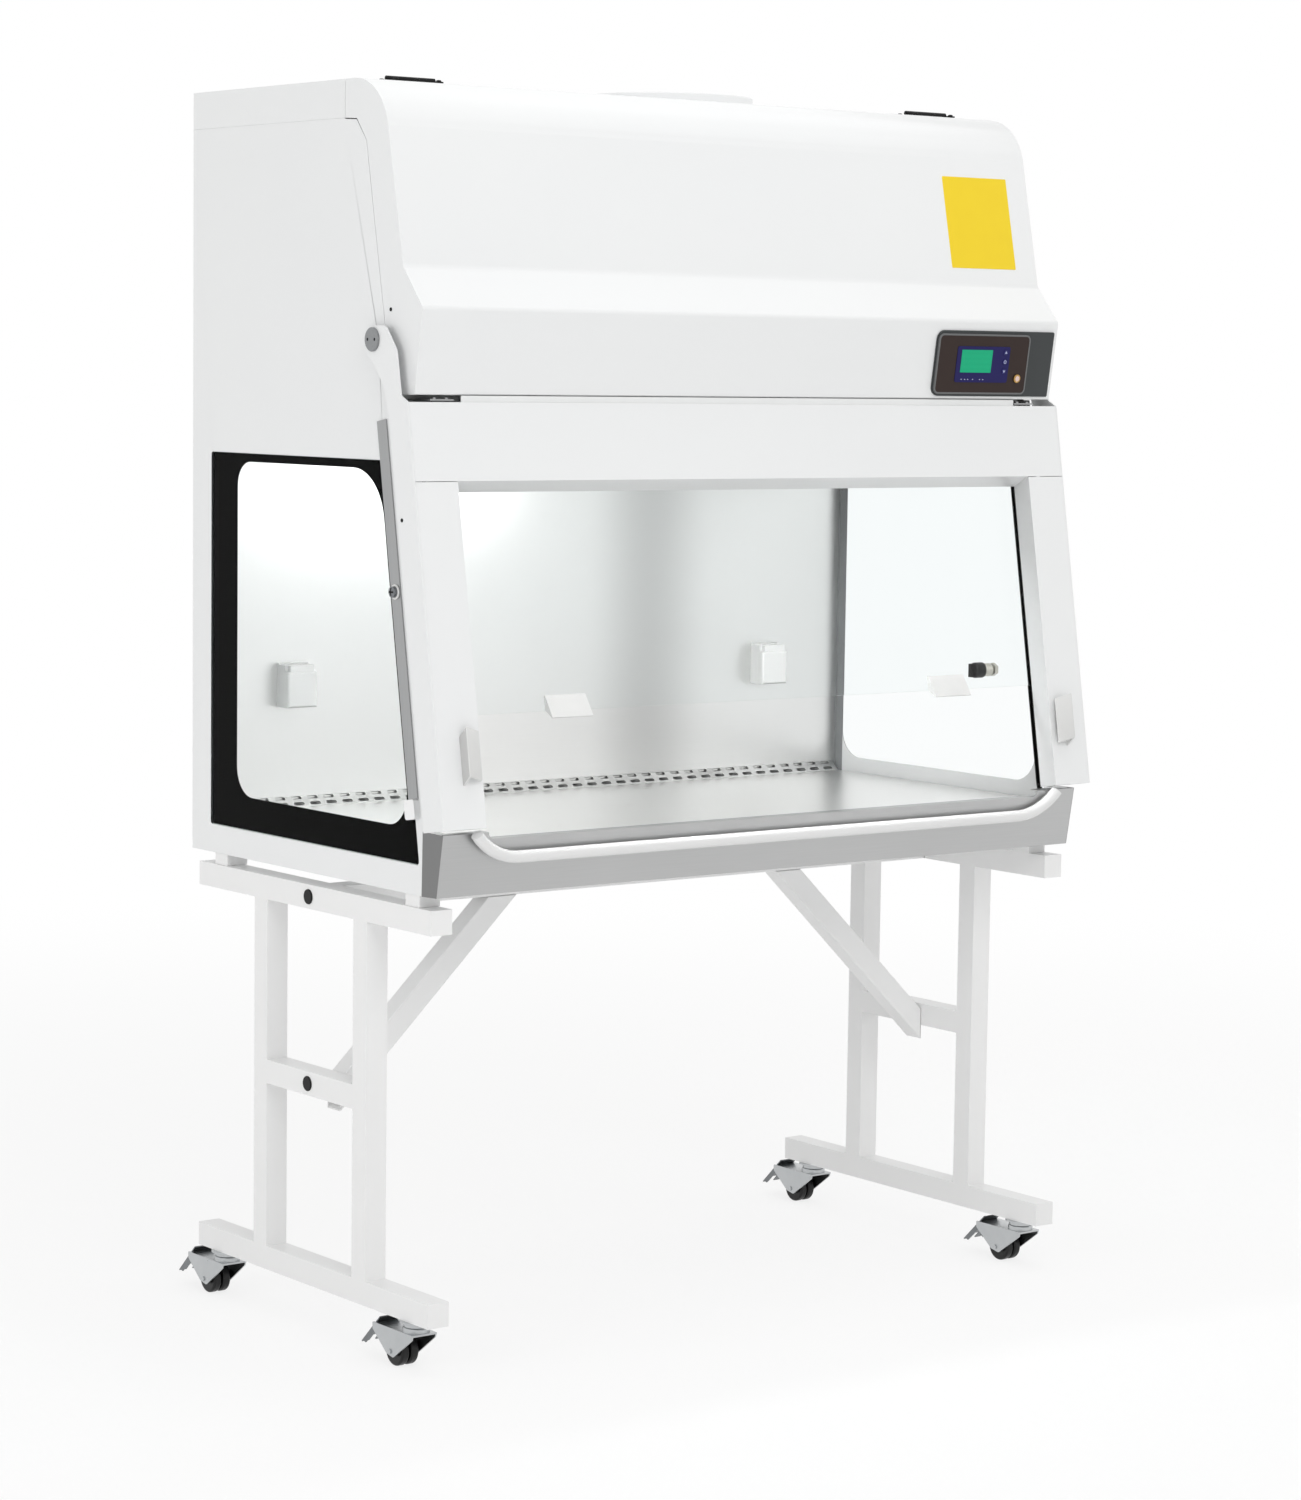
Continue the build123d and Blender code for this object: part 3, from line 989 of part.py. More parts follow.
track_depths = (RETURN_DEPTH, RETURN_DEPTH + TRACK_DEPTH)
track_x = (JAMB_INNER_X, JAMB_INNER_X + TRACK_WIDTH)
track = frame_block(track_x, track_depths, (PANE_TOP_DROP, FRAME_LENGTH - 3.5))
pane_half = JAMB_INNER_X + PANE_BITE
slot_x = (JAMB_INNER_X - 1, pane_half + TOUCH)
slot_depths = (PANE_DEPTH - TOUCH, PANE_DEPTH + PANE_THICKNESS + TOUCH)
track -= frame_block(slot_x, slot_depths, (PANE_TOP_DROP - 5, FRAME_LENGTH - 6.5))
save("sash_tracks", *both_sides(track))

# ---------------------------------------------------------------- sash
pane_depths = (PANE_DEPTH, PANE_DEPTH + PANE_THICKNESS)
pane = frame_block((-pane_half, pane_half), pane_depths, (PANE_TOP_DROP, PANE_BOTTOM_DROP))
save("sash_glass", pane)
foot = PANE_BOTTOM_DROP
plate_profile = [(PANE_DEPTH, -foot + 25), (PANE_DEPTH - 3, -foot + 25), (PANE_DEPTH - 20, -foot - 12),
                 (PANE_DEPTH - 18, -foot - 13), (PANE_DEPTH, -foot + 18)]
gusset_profile = [(PANE_DEPTH, -foot + 18), (PANE_DEPTH - 18, -foot - 13), (PANE_DEPTH, -foot + 2)]
handle_x = (HANDLE_X - HANDLE_WIDTH / 2, HANDLE_X + HANDLE_WIDTH / 2)
handle = prism(plate_profile, handle_x)
for gusset_x in (handle_x[0], handle_x[1] - 2.5):
    handle += prism(gusset_profile, (gusset_x, gusset_x + 2.5))
handle = FRAME * handle
save("sash_handles", *both_sides(handle))
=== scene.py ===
import math

import bmesh
import bpy
import numpy as np
from mathutils import Matrix, Vector


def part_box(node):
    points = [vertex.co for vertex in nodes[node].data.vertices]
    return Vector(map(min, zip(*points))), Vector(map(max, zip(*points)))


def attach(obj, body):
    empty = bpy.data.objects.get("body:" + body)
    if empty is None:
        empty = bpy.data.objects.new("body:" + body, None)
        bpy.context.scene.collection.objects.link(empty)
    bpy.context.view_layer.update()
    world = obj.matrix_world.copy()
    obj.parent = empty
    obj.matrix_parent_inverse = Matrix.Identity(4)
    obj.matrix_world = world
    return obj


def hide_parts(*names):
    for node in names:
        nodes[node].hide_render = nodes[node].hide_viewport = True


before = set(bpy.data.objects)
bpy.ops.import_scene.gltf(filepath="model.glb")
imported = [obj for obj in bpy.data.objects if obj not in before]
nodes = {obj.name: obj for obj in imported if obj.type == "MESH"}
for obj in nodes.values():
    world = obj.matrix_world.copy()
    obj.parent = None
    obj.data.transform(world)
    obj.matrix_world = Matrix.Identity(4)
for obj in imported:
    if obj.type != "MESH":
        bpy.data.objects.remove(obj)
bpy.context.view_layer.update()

# ------------------------------------------------------------------ viewpoint
# A long lens stands well back off the cabinet's left front corner, a little below the
# height of the frame's pivots, and is rolled by under a degree.
EYE = Vector((-3.9537, -5.2438, 1.5991))
YAW = math.radians(37.198)
PITCH = math.radians(-5.766)
ROLL = math.radians(0.796)
forward = Vector((math.sin(YAW) * math.cos(PITCH), math.cos(YAW) * math.cos(PITCH), math.sin(PITCH)))
level = Vector((math.cos(YAW), -math.sin(YAW), 0))
upright = level.cross(forward)
right = level * math.cos(ROLL) + upright * math.sin(ROLL)
top = upright * math.cos(ROLL) - level * math.sin(ROLL)
lens = bpy.data.cameras.new("viewpoint")
lens.sensor_width = 36
lens.lens = 91.2
lens.clip_end = 60
viewpoint = bpy.data.objects.new("viewpoint", lens)
viewpoint.matrix_world = Matrix.Translation(EYE) @ Matrix((right, top, -forward)).transposed().to_4x4()
bpy.context.collection.objects.link(viewpoint)
bpy.context.scene.camera = viewpoint
bpy.context.scene.view_settings.view_transform = "Standard"


# ------------------------------------------------------------------ studio
# A matt pale floor under a white sweep of light: soft boxes in front, at the sides and
# overhead, two small lamps in the chamber and an even fill.  The backdrop is white to the
# eye, to metal and to glass.
def linear(colour):
    """The linear value of an sRGB hex colour: ((c + 0.055) / 1.055) ** 2.4, or c / 12.92 when dark."""
    parts = np.array([int(colour[i : i + 2], 16) / 255 for i in (1, 3, 5)])
    values = np.where(parts <= 0.04045, parts / 12.92, ((parts + 0.055) / 1.055) ** 2.4)
    return (*values.tolist(), 1.0)


def add(tree, kind, inputs=None, **settings):
    """Adds one shader node; inputs are values or the sockets that feed them, settings its options."""
    new = tree.nodes.new("ShaderNode" + kind)
    for name, value in settings.items():
        setattr(new, name, value)
    for name, value in (inputs or {}).items():
        socket = new.inputs[name]
        if isinstance(value, bpy.types.NodeSocket):
            tree.links.new(value, socket)
        else:
            socket.default_value = value
    return new


def blank(name):
    """An empty material with its output node."""
    made = bpy.data.materials.new(name)
    made.use_nodes = True
    made.node_tree.nodes.clear()
    return made, made.node_tree, made.node_tree.nodes.new("ShaderNodeOutputMaterial")


def seen_directly(tree):
    """1 for rays that come from the eye, a mirror-like surface or glass, else 0."""
    path = add(tree, "LightPath").outputs
    first = add(tree, "Math", {0: path["Is Camera Ray"], 1: path["Is Glossy Ray"]}, operation="MAXIMUM")
    both = add(tree, "Math", {0: first.outputs[0], 1: path["Is Transmission Ray"]}, operation="MAXIMUM")
    return both.outputs[0]


WORLD_FILL = 0.60
world = bpy.data.worlds.new("studio")
bpy.context.scene.world = world
world.use_nodes = True
sky = world.node_tree
sky.nodes.clear()
fill = add(sky, "Background", {"Color": linear("#F7F7F6"), "Strength": WORLD_FILL})
backdrop = add(sky, "Background", {"Color": (1, 1, 1, 1), "Strength": 1.0})
chosen = add(sky, "MixShader", {0: seen_directly(sky), 1: fill.outputs[0], 2: backdrop.outputs[0]})
sky.links.new(chosen.outputs[0], sky.nodes.new("ShaderNodeOutputWorld").inputs[0])

floor_matt, tree, out = blank("floor_matt_paint")
on_floor = add(tree, "TexCoord").outputs["Object"]
speck = add(tree, "TexNoise", {"Vector": on_floor, "Scale": 3.0, "Detail": 4.0}).outputs["Fac"]
tone = add(tree, "Mix", {0: speck, 6: linear("#F2F2F2"), 7: linear("#F6F6F6")}, data_type="RGBA")
matt = add(tree, "BsdfDiffuse", {"Color": tone.outputs[2]})
glow = add(tree, "Emission", {"Color": (1, 1, 1, 1), "Strength": 1.0})
# Under the cabinet a fifth of the floor's tone comes from the light that falls on it, so
# that its shadow shows; further out the floor turns to plain white.
SHADOW_REACH, WHITE_FROM = 1.2, 5.0
from_middle = add(tree, "VectorMath", {0: on_floor}, operation="LENGTH")
share = add(tree, "MapRange", {
    0: from_middle.outputs["Value"], 1: SHADOW_REACH, 2: WHITE_FROM, 3: 0.80, 4: 1.0,
}, interpolation_type="SMOOTHSTEP")
mix = add(tree, "Math", {0: seen_directly(tree), 1: share.outputs[0]}, operation="MULTIPLY")
shade = add(tree, "MixShader", {0: mix.outputs[0], 1: matt.outputs[0], 2: glow.outputs[0]})
tree.links.new(shade.outputs[0], out.inputs[0])
FLOOR_HALF = 14.0
floor_mesh = bpy.data.meshes.new("floor")
corners = [(FLOOR_HALF * x, FLOOR_HALF * y, 0) for x, y in ((-1, -1), (1, -1), (1, 1), (-1, 1))]
floor_mesh.from_pydata(corners, [], [(0, 1, 2, 3)])
floor = bpy.data.objects.new("floor", floor_mesh)
bpy.context.collection.objects.link(floor)
floor_mesh.materials.append(floor_matt)


def soft_box(name, place, target, size, watts):
    """A rectangular area lamp at a place, aimed at a target and unseen in reflections."""
    lamp = bpy.data.lights.new(name, "AREA")
    lamp.shape = "RECTANGLE"
    lamp.size, lamp.size_y = size
    lamp.energy = watts
    box = bpy.data.objects.new(name, lamp)
    box.location = place
    box.rotation_euler = (Vector(target) - Vector(place)).to_track_quat("-Z", "Y").to_euler()
    box.visible_glossy = False
    bpy.context.collection.objects.link(box)
    return box


soft_box("key", (-1.8, -5.2, 4.2), (0, 0, 1.3), (3.2, 2.4), 76)
soft_box("side", (-5.2, -0.6, 2.0), (-0.6, 0, 1.1), (2.6, 2.6), 52)
soft_box("overhead", (0.4, -0.4, 4.8), (0, 0, 1.6), (3.0, 3.0), 48)
soft_box("far_side", (4.6, -2.4, 2.6), (0.5, 0, 1.1), (2.4, 2.4), 18)
soft_box("low_front", (-1.6, -4.6, 0.7), (0, 0, 0.4), (3.2, 1.0), 13)
# The cabinet's own lamp throws little light in a render, so a wide strip helps it, and a
# small one that only metal mirrors makes the glow on the back wall.
chamber_light = soft_box("chamber_lamp", (0.0, -0.16, 1.43), (0, 0.02, 0.86), (1.0, 0.10), 7)
chamber_light.data.spread = math.radians(140)
gleam = soft_box("chamber_gleam", (-0.12, -0.16, 1.40), (-0.36, 0.26, 1.20), (0.40, 0.12), 0.6)
gleam.visible_glossy = True
gleam.visible_diffuse = False


# ------------------------------------------------------------------ enamelled sheet
# Steel sheet, folded and then powder coated in white.  The coat is baked: a soft gloss
# with the faint orange peel of powder, a little thinner and greyer in the wide fields.
def principled(tree, out, inputs):
    """The surface shader of a material, wired to its output."""
    shader = add(tree, "BsdfPrincipled", inputs)
    tree.links.new(shader.outputs[0], out.inputs[0])
    return shader


def grain(tree, scale_mm, stretch=(1, 1, 1), detail=3.0):
    """Noise with a feature size in millimetres, stretched along the axes."""
    where = add(tree, "TexCoord").outputs["Object"]
    drawn = add(tree, "Mapping", {"Vector": where, "Scale": tuple(1 / s for s in stretch)})
    return add(tree, "TexNoise", {"Vector": drawn.outputs[0], "Scale": 1000 / scale_mm, "Detail": detail})


def powder_coat(name, colour, worn, roughness, shaded=None):
    """Baked powder coat: peel at 3 mm, drawn coarser than the real 1 mm, over slow tone drift."""
    made, tree, out = blank(name)
    drift = grain(tree, 420, detail=2.0)
    tone = add(tree, "Mix", {0: drift.outputs["Fac"], 6: linear(colour), 7: linear(worn)}, data_type="RGBA")
    peel = grain(tree, 3.0, detail=1.0)
    bump = add(tree, "Bump", {"Height": peel.outputs["Fac"], "Strength": 0.04, "Distance": 0.001})
    shine = grain(tree, 60, detail=3.0)
    rough = add(tree, "MapRange", {0: shine.outputs["Fac"], 3: roughness - 0.05, 4: roughness + 0.06})
    final = shaded(tree, tone.outputs[2]) if shaded else tone.outputs[2]
    principled(tree, out, {
        "Base Color": final, "Roughness": rough.outputs[0], "Normal": bump.outputs[0],
        "Coat Weight": 0.25, "Coat Roughness": 0.12,
    })
    return made


def outwards(tree):
    """A face's x direction times its x place: above 0 where it faces away from the middle, else below."""
    spot = add(tree, "TexCoord").outputs
    facing = add(tree, "SeparateXYZ", {0: spot["Normal"]}).outputs[0]
    place = add(tree, "SeparateXYZ", {0: spot["Object"]}).outputs[0]
    return add(tree, "Math", {0: facing, 1: place}, operation="MULTIPLY").outputs[0]


def painted_shade_returns(tree, colour):
    """Painted shade: the jambs' inner returns, which face the middle of the opening, are darkened to 0.78
    of the enamel.
    """
    inner = add(tree, "MapRange", {0: outwards(tree), 1: -0.5, 2: -0.3, 3: 0.78, 4: 1.0})
    return add(tree, "VectorMath", {0: colour, 3: inner.outputs[0]}, operation="SCALE").outputs[0]


def finish(material, *names):
    """Gives CAD nodes a material in place of their plain one."""
    for name in names:
        mesh = nodes[name].data
        for i in range(max(1, len(mesh.materials))):
            if i < len(mesh.materials):
                mesh.materials[i] = material
            else:
                mesh.materials.append(material)


JOIN_WITHIN = 0.00002
FOLD_ANGLE = math.radians(34)


def soften(width_mm, *names):
    """Rounds the edges of folded sheet: its corners are joined, bevelled in two steps and shaded flat."""
    for name in names:
        piece = nodes[name]
        piece.modifiers.new("join", "WELD").merge_threshold = JOIN_WITHIN
        round_over = piece.modifiers.new("round_over", "BEVEL")
        round_over.width = width_mm / 1000
        round_over.segments = 2
        round_over.limit_method = "ANGLE"
        round_over.angle_limit = FOLD_ANGLE
        round_over.use_clamp_overlap = True
        round_over.harden_normals = True


enamel = powder_coat("white_powder_coat", "#EEEFEF", "#EAEBEC", 0.34)
# The frame's enamel carries painted shade on the jambs' inner returns.
frame_enamel = powder_coat("frame_powder_coat", "#EEEFEF", "#EAEBEC", 0.34, painted_shade_returns)
stand_enamel = powder_coat("stand_powder_coat", "#F1F1F1", "#EDEDED", 0.40)
bar_enamel = powder_coat("gloss_white_enamel", "#E5E5E5", "#E0E0E0", 0.24)
finish(enamel, "hood_shell", "top_cover", "side_panels", "rear_panel", "base_panel", "exhaust_collar")
finish(enamel, "front_bulkhead")
finish(frame_enamel, "front_frame")
finish(stand_enamel, "stand_ends", "stand_brace", "spacer_blocks")
finish(bar_enamel, "armrest")
soften(1.2, "hood_shell")
soften(0.7, "front_frame", "top_cover", "side_panels")
soften(2.0, "stand_ends", "stand_brace")
soften(1.0, "spacer_blocks")

# ------------------------------------------------------------------ stainless steel
# Chamber, tray, apron and trim are stainless sheet with a satin brushed face.  The brush
# runs along the width, so lights smear up and down across it.
def bell(tree, axis, middle_mm, spread_mm):
    """A band across one axis: 1 at its middle, falling smoothly to 0 at the spread on either side."""
    along = add(tree, "SeparateXYZ", {0: add(tree, "TexCoord").outputs["Object"]}).outputs[axis]
    away = add(tree, "Math", {0: along, 1: middle_mm / 1000}, operation="SUBTRACT")
    size = add(tree, "Math", {0: away.outputs[0]}, operation="ABSOLUTE")
    return add(tree, "MapRange", {
        0: size.outputs[0], 1: 0.0, 2: spread_mm / 1000, 3: 1.0, 4: 0.0,
    }, interpolation_type="SMOOTHSTEP")


def darken(tree, colour, mask, share):
    """Multiplies a colour by (1 - share) where the mask is 1."""
    factor = add(tree, "MapRange", {0: mask.outputs[0], 3: 1.0, 4: 1.0 - share})
    return add(tree, "VectorMath", {0: colour, 3: factor.outputs[0]}, operation="SCALE").outputs[0]


def brushed_steel(name, colour, dark, roughness, stretch, shaded=None):
    """Brushed sheet: streaks 0.8 mm wide, drawn coarser than the real 0.1 mm, pulled along the brush."""
    made, tree, out = blank(name)
    streak = grain(tree, 1.6, stretch, detail=2.0)
    cloud = grain(tree, 260, detail=2.0)
    blend = add(tree, "Mix", {0: 0.45, 2: streak.outputs["Fac"], 3: cloud.outputs["Fac"]})
    tone = add(tree, "Mix", {0: blend.outputs[0], 6: linear(dark), 7: linear(colour)}, data_type="RGBA")
    rough = add(tree, "MapRange", {0: streak.outputs["Fac"], 3: roughness - 0.06, 4: roughness + 0.08})
    bump = add(tree, "Bump", {"Height": streak.outputs["Fac"], "Strength": 0.10, "Distance": 0.0004})
    final = shaded(tree, tone.outputs[2]) if shaded else tone.outputs[2]
    principled(tree, out, {
        "Base Color": final, "Metallic": 1.0, "Roughness": rough.outputs[0], "Normal": bump.outputs[0],
    })
    return made


def painted_reflection_bands(tree, colour):
    """Painted reflection: slow upright bands on a long brushed panel, darker right of the middle and at its
    right end.
    """
    colour = darken(tree, colour, bell(tree, 0, 215, 150), 0.24)
    return darken(tree, colour, bell(tree, 0, 640, 420), 0.12)


# The front frame leans back: the place (y, z) of its top edge in millimetres, and the sine
# and cosine of its lean.
FRAME_TOP = (-303.2, 1538.8)
FRAME_SIN, FRAME_COS = 0.163326, 0.986572
REST_DROP = (0.6121, 0.6124)
APRON_END = (0.6695, 0.6703)


def below_top(tree):
    """Drop from the leaning frame's top edge along its face, in metres: -(y - y0) sin - (z - z0) cos."""
    place = add(tree, "TexCoord").outputs["Object"]
    rise = add(tree, "VectorMath", {0: place, 1: (0, FRAME_SIN, FRAME_COS)}, operation="DOT_PRODUCT")
    zero = (FRAME_TOP[0] * FRAME_SIN + FRAME_TOP[1] * FRAME_COS) / 1000
    return add(tree, "Math", {0: zero, 1: rise.outputs["Value"]}, operation="SUBTRACT")


def white_rests(tree, colour):
    """The rests at the foot of the strips are moulded in white, the strips above them are steel."""
    low = add(tree, "MapRange", {0: below_top(tree).outputs[0], 1: REST_DROP[0], 2: REST_DROP[1]})
    tone = add(tree, "Mix", {0: low.outputs[0], 6: colour, 7: linear("#F2F2F2")}, data_type="RGBA")
    return tone.outputs[2]


def shaded_ends(tree, colour):
    """Painted shade: the apron's closed ends are coloured much darker than its brushed face."""
    along = add(tree, "SeparateXYZ", {0: add(tree, "TexCoord").outputs["Object"]}).outputs[0]
    size = add(tree, "Math", {0: along}, operation="ABSOLUTE")
    ends = add(tree, "MapRange", {0: size.outputs[0], 1: APRON_END[0], 2: APRON_END[1]})
    return darken(tree, colour, ends, 0.55)


ACROSS = (60, 1, 1)
UPRIGHT = (1, 1, 60)
# The chamber wall's steel carries two bands of painted reflection.
wall_steel = brushed_steel("brushed_stainless_wall", "#F8F8F7", "#F0F0EF", 0.34, ACROSS, painted_reflection_bands)
tray_steel = brushed_steel("brushed_stainless_tray", "#FAFAF9", "#F0F0EE", 0.30, ACROSS)
# Painted shade: the drain pan, seen only through the grille's slots, is stainless like the tray but
# coloured near black for the shade under the grille.
pan_steel_painted_shade = brushed_steel("stainless_pan_painted_shade", "#444546", "#363738", 0.45, ACROSS)
apron_steel = brushed_steel("satin_stainless_apron", "#C7C7C7", "#B3B4B4", 0.38, ACROSS, shaded_ends)
trim_steel = brushed_steel("satin_stainless_trim", "#B4B5B5", "#999A9B", 0.36, UPRIGHT, white_rests)
stud_steel = brushed_steel("turned_steel_stud", "#9FA1A2", "#7E8082", 0.30, (3, 3, 3))
zinc = brushed_steel("zinc_coated_sheet", "#B9BBBC", "#9EA1A3", 0.42, (3, 3, 3))
finish(wall_steel, "back_wall", "ceiling_diffuser")
finish(tray_steel, "work_tray", "air_grilles")
finish(pan_steel_painted_shade, "drain_pan")
finish(apron_steel, "apron")
finish(stud_steel, "pivot_studs")
finish(zinc, "fan_housing", "fan_impeller")
finish(trim_steel, "front_hardware")

# ------------------------------------------------------------------ lamp
# A fluorescent tube under the chamber's ceiling, behind the header: a white enamelled
# trough and an opal tube that glows evenly.
TUBE_AXIS = (0, -0.2289, 1.4260)
TUBE_SKIN = (0.0134, 0.0138)
lamp_opal, tree, out = blank("glowing_lamp_tube")
spot = add(tree, "SeparateXYZ", {0: add(tree, "TexCoord").outputs["Object"]})
flat = add(tree, "CombineXYZ", {1: spot.outputs[1], 2: spot.outputs[2]})
apart = add(tree, "VectorMath", {0: flat.outputs[0], 1: TUBE_AXIS}, operation="DISTANCE").outputs["Value"]
on_tube = add(tree, "MapRange", {0: apart, 1: TUBE_SKIN[0], 2: TUBE_SKIN[1], 3: 1.0, 4: 0.0})
lamp_tone = add(tree, "Mix", {
    0: grain(tree, 90).outputs["Fac"], 6: linear("#F2F3F2"), 7: linear("#EAEBEA"),
}, data_type="RGBA")
trough = add(tree, "BsdfPrincipled", {"Base Color": lamp_tone.outputs[2], "Roughness": 0.3})
shining = add(tree, "Emission", {"Color": linear("#FCFEFF"), "Strength": 5.0})
lamp_mix = add(tree, "MixShader", {0: on_tube.outputs[0], 1: trough.outputs[0], 2: shining.outputs[0]})
tree.links.new(lamp_mix.outputs[0], out.inputs[0])
finish(lamp_opal, "lamp_housing")

# ------------------------------------------------------------------ glass
# Toughened float glass, 6 mm at the sides and 5 mm in the sash.  The side panes carry a
# baked black border on the inner face that hides the glue line.
def clear_glass(name, tint, index):
    """A clear pane that casts no shadow; a low index keeps its mirror image faint.

    The upper and lower edges are ground, so they show as a pale line.
    """
    made, tree, out = blank(name)
    smear = grain(tree, 180, detail=2.0)
    rough = add(tree, "MapRange", {0: smear.outputs["Fac"], 3: 0.0, 4: 0.02})
    pane = add(tree, "BsdfPrincipled", {
        "Base Color": linear(tint), "Roughness": rough.outputs[0], "Transmission Weight": 1.0, "IOR": index,
    })
    through = add(tree, "BsdfTransparent", {"Color": linear(tint)})
    shadow = add(tree, "LightPath").outputs["Is Shadow Ray"]
    mixed = add(tree, "MixShader", {0: shadow, 1: pane.outputs[0], 2: through.outputs[0]})
    facing = add(tree, "SeparateXYZ", {0: add(tree, "TexCoord").outputs["Normal"]})
    upright = add(tree, "Math", {0: facing.outputs[2]}, operation="ABSOLUTE")
    edge = add(tree, "MapRange", {0: upright.outputs[0], 1: 0.90, 2: 0.95})
    ground = add(tree, "BsdfPrincipled", {"Base Color": linear("#DDE6E2"), "Roughness": 0.6})
    whole = add(tree, "MixShader", {0: edge.outputs[0], 1: mixed.outputs[0], 2: ground.outputs[0]})
    tree.links.new(whole.outputs[0], out.inputs[0])
    return made


finish(clear_glass("clear_toughened_glass", "#FBFDFD", 1.10), "side_windows")
finish(clear_glass("clear_sash_glass", "#FBFDFD", 1.22), "sash_glass")


def moulded(name, colour, pale, roughness, texture_mm=1.2, strength=0.08, shine=0.5, shaded=None):
    """Moulded plastic: spark-eroded texture over a slight drift in tone."""
    made, tree, out = blank(name)
    drift = grain(tree, 40, detail=2.0)
    tone = add(tree, "Mix", {0: drift.outputs["Fac"], 6: linear(colour), 7: linear(pale)}, data_type="RGBA")
    pits = grain(tree, texture_mm, detail=2.0)
    bump = add(tree, "Bump", {"Height": pits.outputs["Fac"], "Strength": strength, "Distance": 0.0004})
    rough = add(tree, "MapRange", {0: pits.outputs["Fac"], 3: roughness - 0.05, 4: roughness + 0.05})
    final = shaded(tree, tone.outputs[2]) if shaded else tone.outputs[2]
    principled(tree, out, {
        "Base Color": final, "Roughness": rough.outputs[0], "Normal": bump.outputs[0],
        "Specular IOR Level": shine,
    })
    return made


SEAL_DEPTH = (0.112, 0.114)
CORNER_SHADE_REAR = (0.2385, 0.2395)


def behind_face(tree):
    """Depth behind the leaning frame's face, in metres: (y - y0) cos - (z - z0) sin."""
    place = add(tree, "TexCoord").outputs["Object"]
    away = add(tree, "VectorMath", {0: place, 1: (0, FRAME_COS, -FRAME_SIN)}, operation="DOT_PRODUCT")
    zero = (FRAME_TOP[0] * FRAME_COS - FRAME_TOP[1] * FRAME_SIN) / 1000
    return add(tree, "Math", {0: away.outputs["Value"], 1: zero}, operation="SUBTRACT")


def pale_inside(tree, colour):
    """Towards the chamber a pale seal backs the border; behind the clear pane's rear edge it turns dark
    grey, painted shade of the corner by the back wall.
    """
    inner = add(tree, "MapRange", {0: outwards(tree), 1: -0.4, 2: -0.2, 3: 1.0, 4: 0.0})
    depth = behind_face(tree).outputs[0]
    behind = add(tree, "MapRange", {0: depth, 1: SEAL_DEPTH[0], 2: SEAL_DEPTH[1]})
    share = add(tree, "Math", {0: inner.outputs[0], 1: behind.outputs[0]}, operation="MULTIPLY")
    place = add(tree, "SeparateXYZ", {0: add(tree, "TexCoord").outputs["Object"]})
    # Painted shade: from the pane's rear edge back, the seal's tone falls to a dark grey.
    rear = add(tree, "MapRange", {0: place.outputs[1], 1: CORNER_SHADE_REAR[0], 2: CORNER_SHADE_REAR[1]}).outputs[0]
    seal = add(tree, "Mix", {0: rear, 6: linear("#B9BABA"), 7: linear("#6E7071")}, data_type="RGBA")
    tone = add(tree, "Mix", {0: share.outputs[0], 6: colour, 7: seal.outputs[2]}, data_type="RGBA")
    return tone.outputs[2]


# Smooth surfaces: faint waves of 2 mm in place of a moulded texture.
SMOOTH = (2.0, 0.02)
black_frit = moulded("baked_black_border", "#060606", "#090909", 0.25, *SMOOTH, 0.12, pale_inside)
finish(black_frit, "window_borders")

# ------------------------------------------------------------------ black plastic
# Moulded black ABS with a fine dull texture: the sash's tracks, the plugs in the stand's
# bolt holes, the two top hinges and the knob of the service valve.
black_abs = moulded("black_moulded_abs", "#0B0B0B", "#121213", 0.42, shine=0.22)
finish(black_abs, "sash_tracks", "bolt_plugs", "hood_hinge_bases", "hood_hinge_leaves", "service_knob")

# ------------------------------------------------------------------ sash handles and sockets
# Pale grey ABS, moulded with a fine texture: the two handles on the sash, and the
# splash-proof sockets with their lids, whose darker grey is painted shade against the chamber lamp.
pale_abs = moulded("pale_moulded_abs", "#E3E3E2", "#DBDBDA", 0.45)
socket_abs = moulded("socket_moulded_abs", "#BDBDBC", "#B6B6B5", 0.40)
finish(pale_abs, "sash_handles")
finish(socket_abs, "socket_boxes", "socket_lid_left", "socket_lid_right")

# ------------------------------------------------------------------ controls
# A dark grey bezel carries a brown-black panel with a raised grey rim; on it a navy
# membrane holds the display window and three push buttons, with a key lock beside it.
bezel_abs = moulded("dark_grey_bezel", "#373A3B", "#3D4041", 0.40, shine=0.3)
panel_acrylic = moulded("brown_black_panel", "#352A27", "#382D2A", 0.30, *SMOOTH, shine=0.15)
membrane = moulded("navy_membrane", "#221F56", "#252259", 0.35, *SMOOTH, shine=0.15)
button_abs = moulded("navy_button", "#2C2B62", "#32316A", 0.35, shine=0.2)
finish(bezel_abs, "control_bezel")
finish(panel_acrylic, "control_panel")
finish(membrane, "display")
finish(button_abs, "button_up", "button_enter", "button_down")


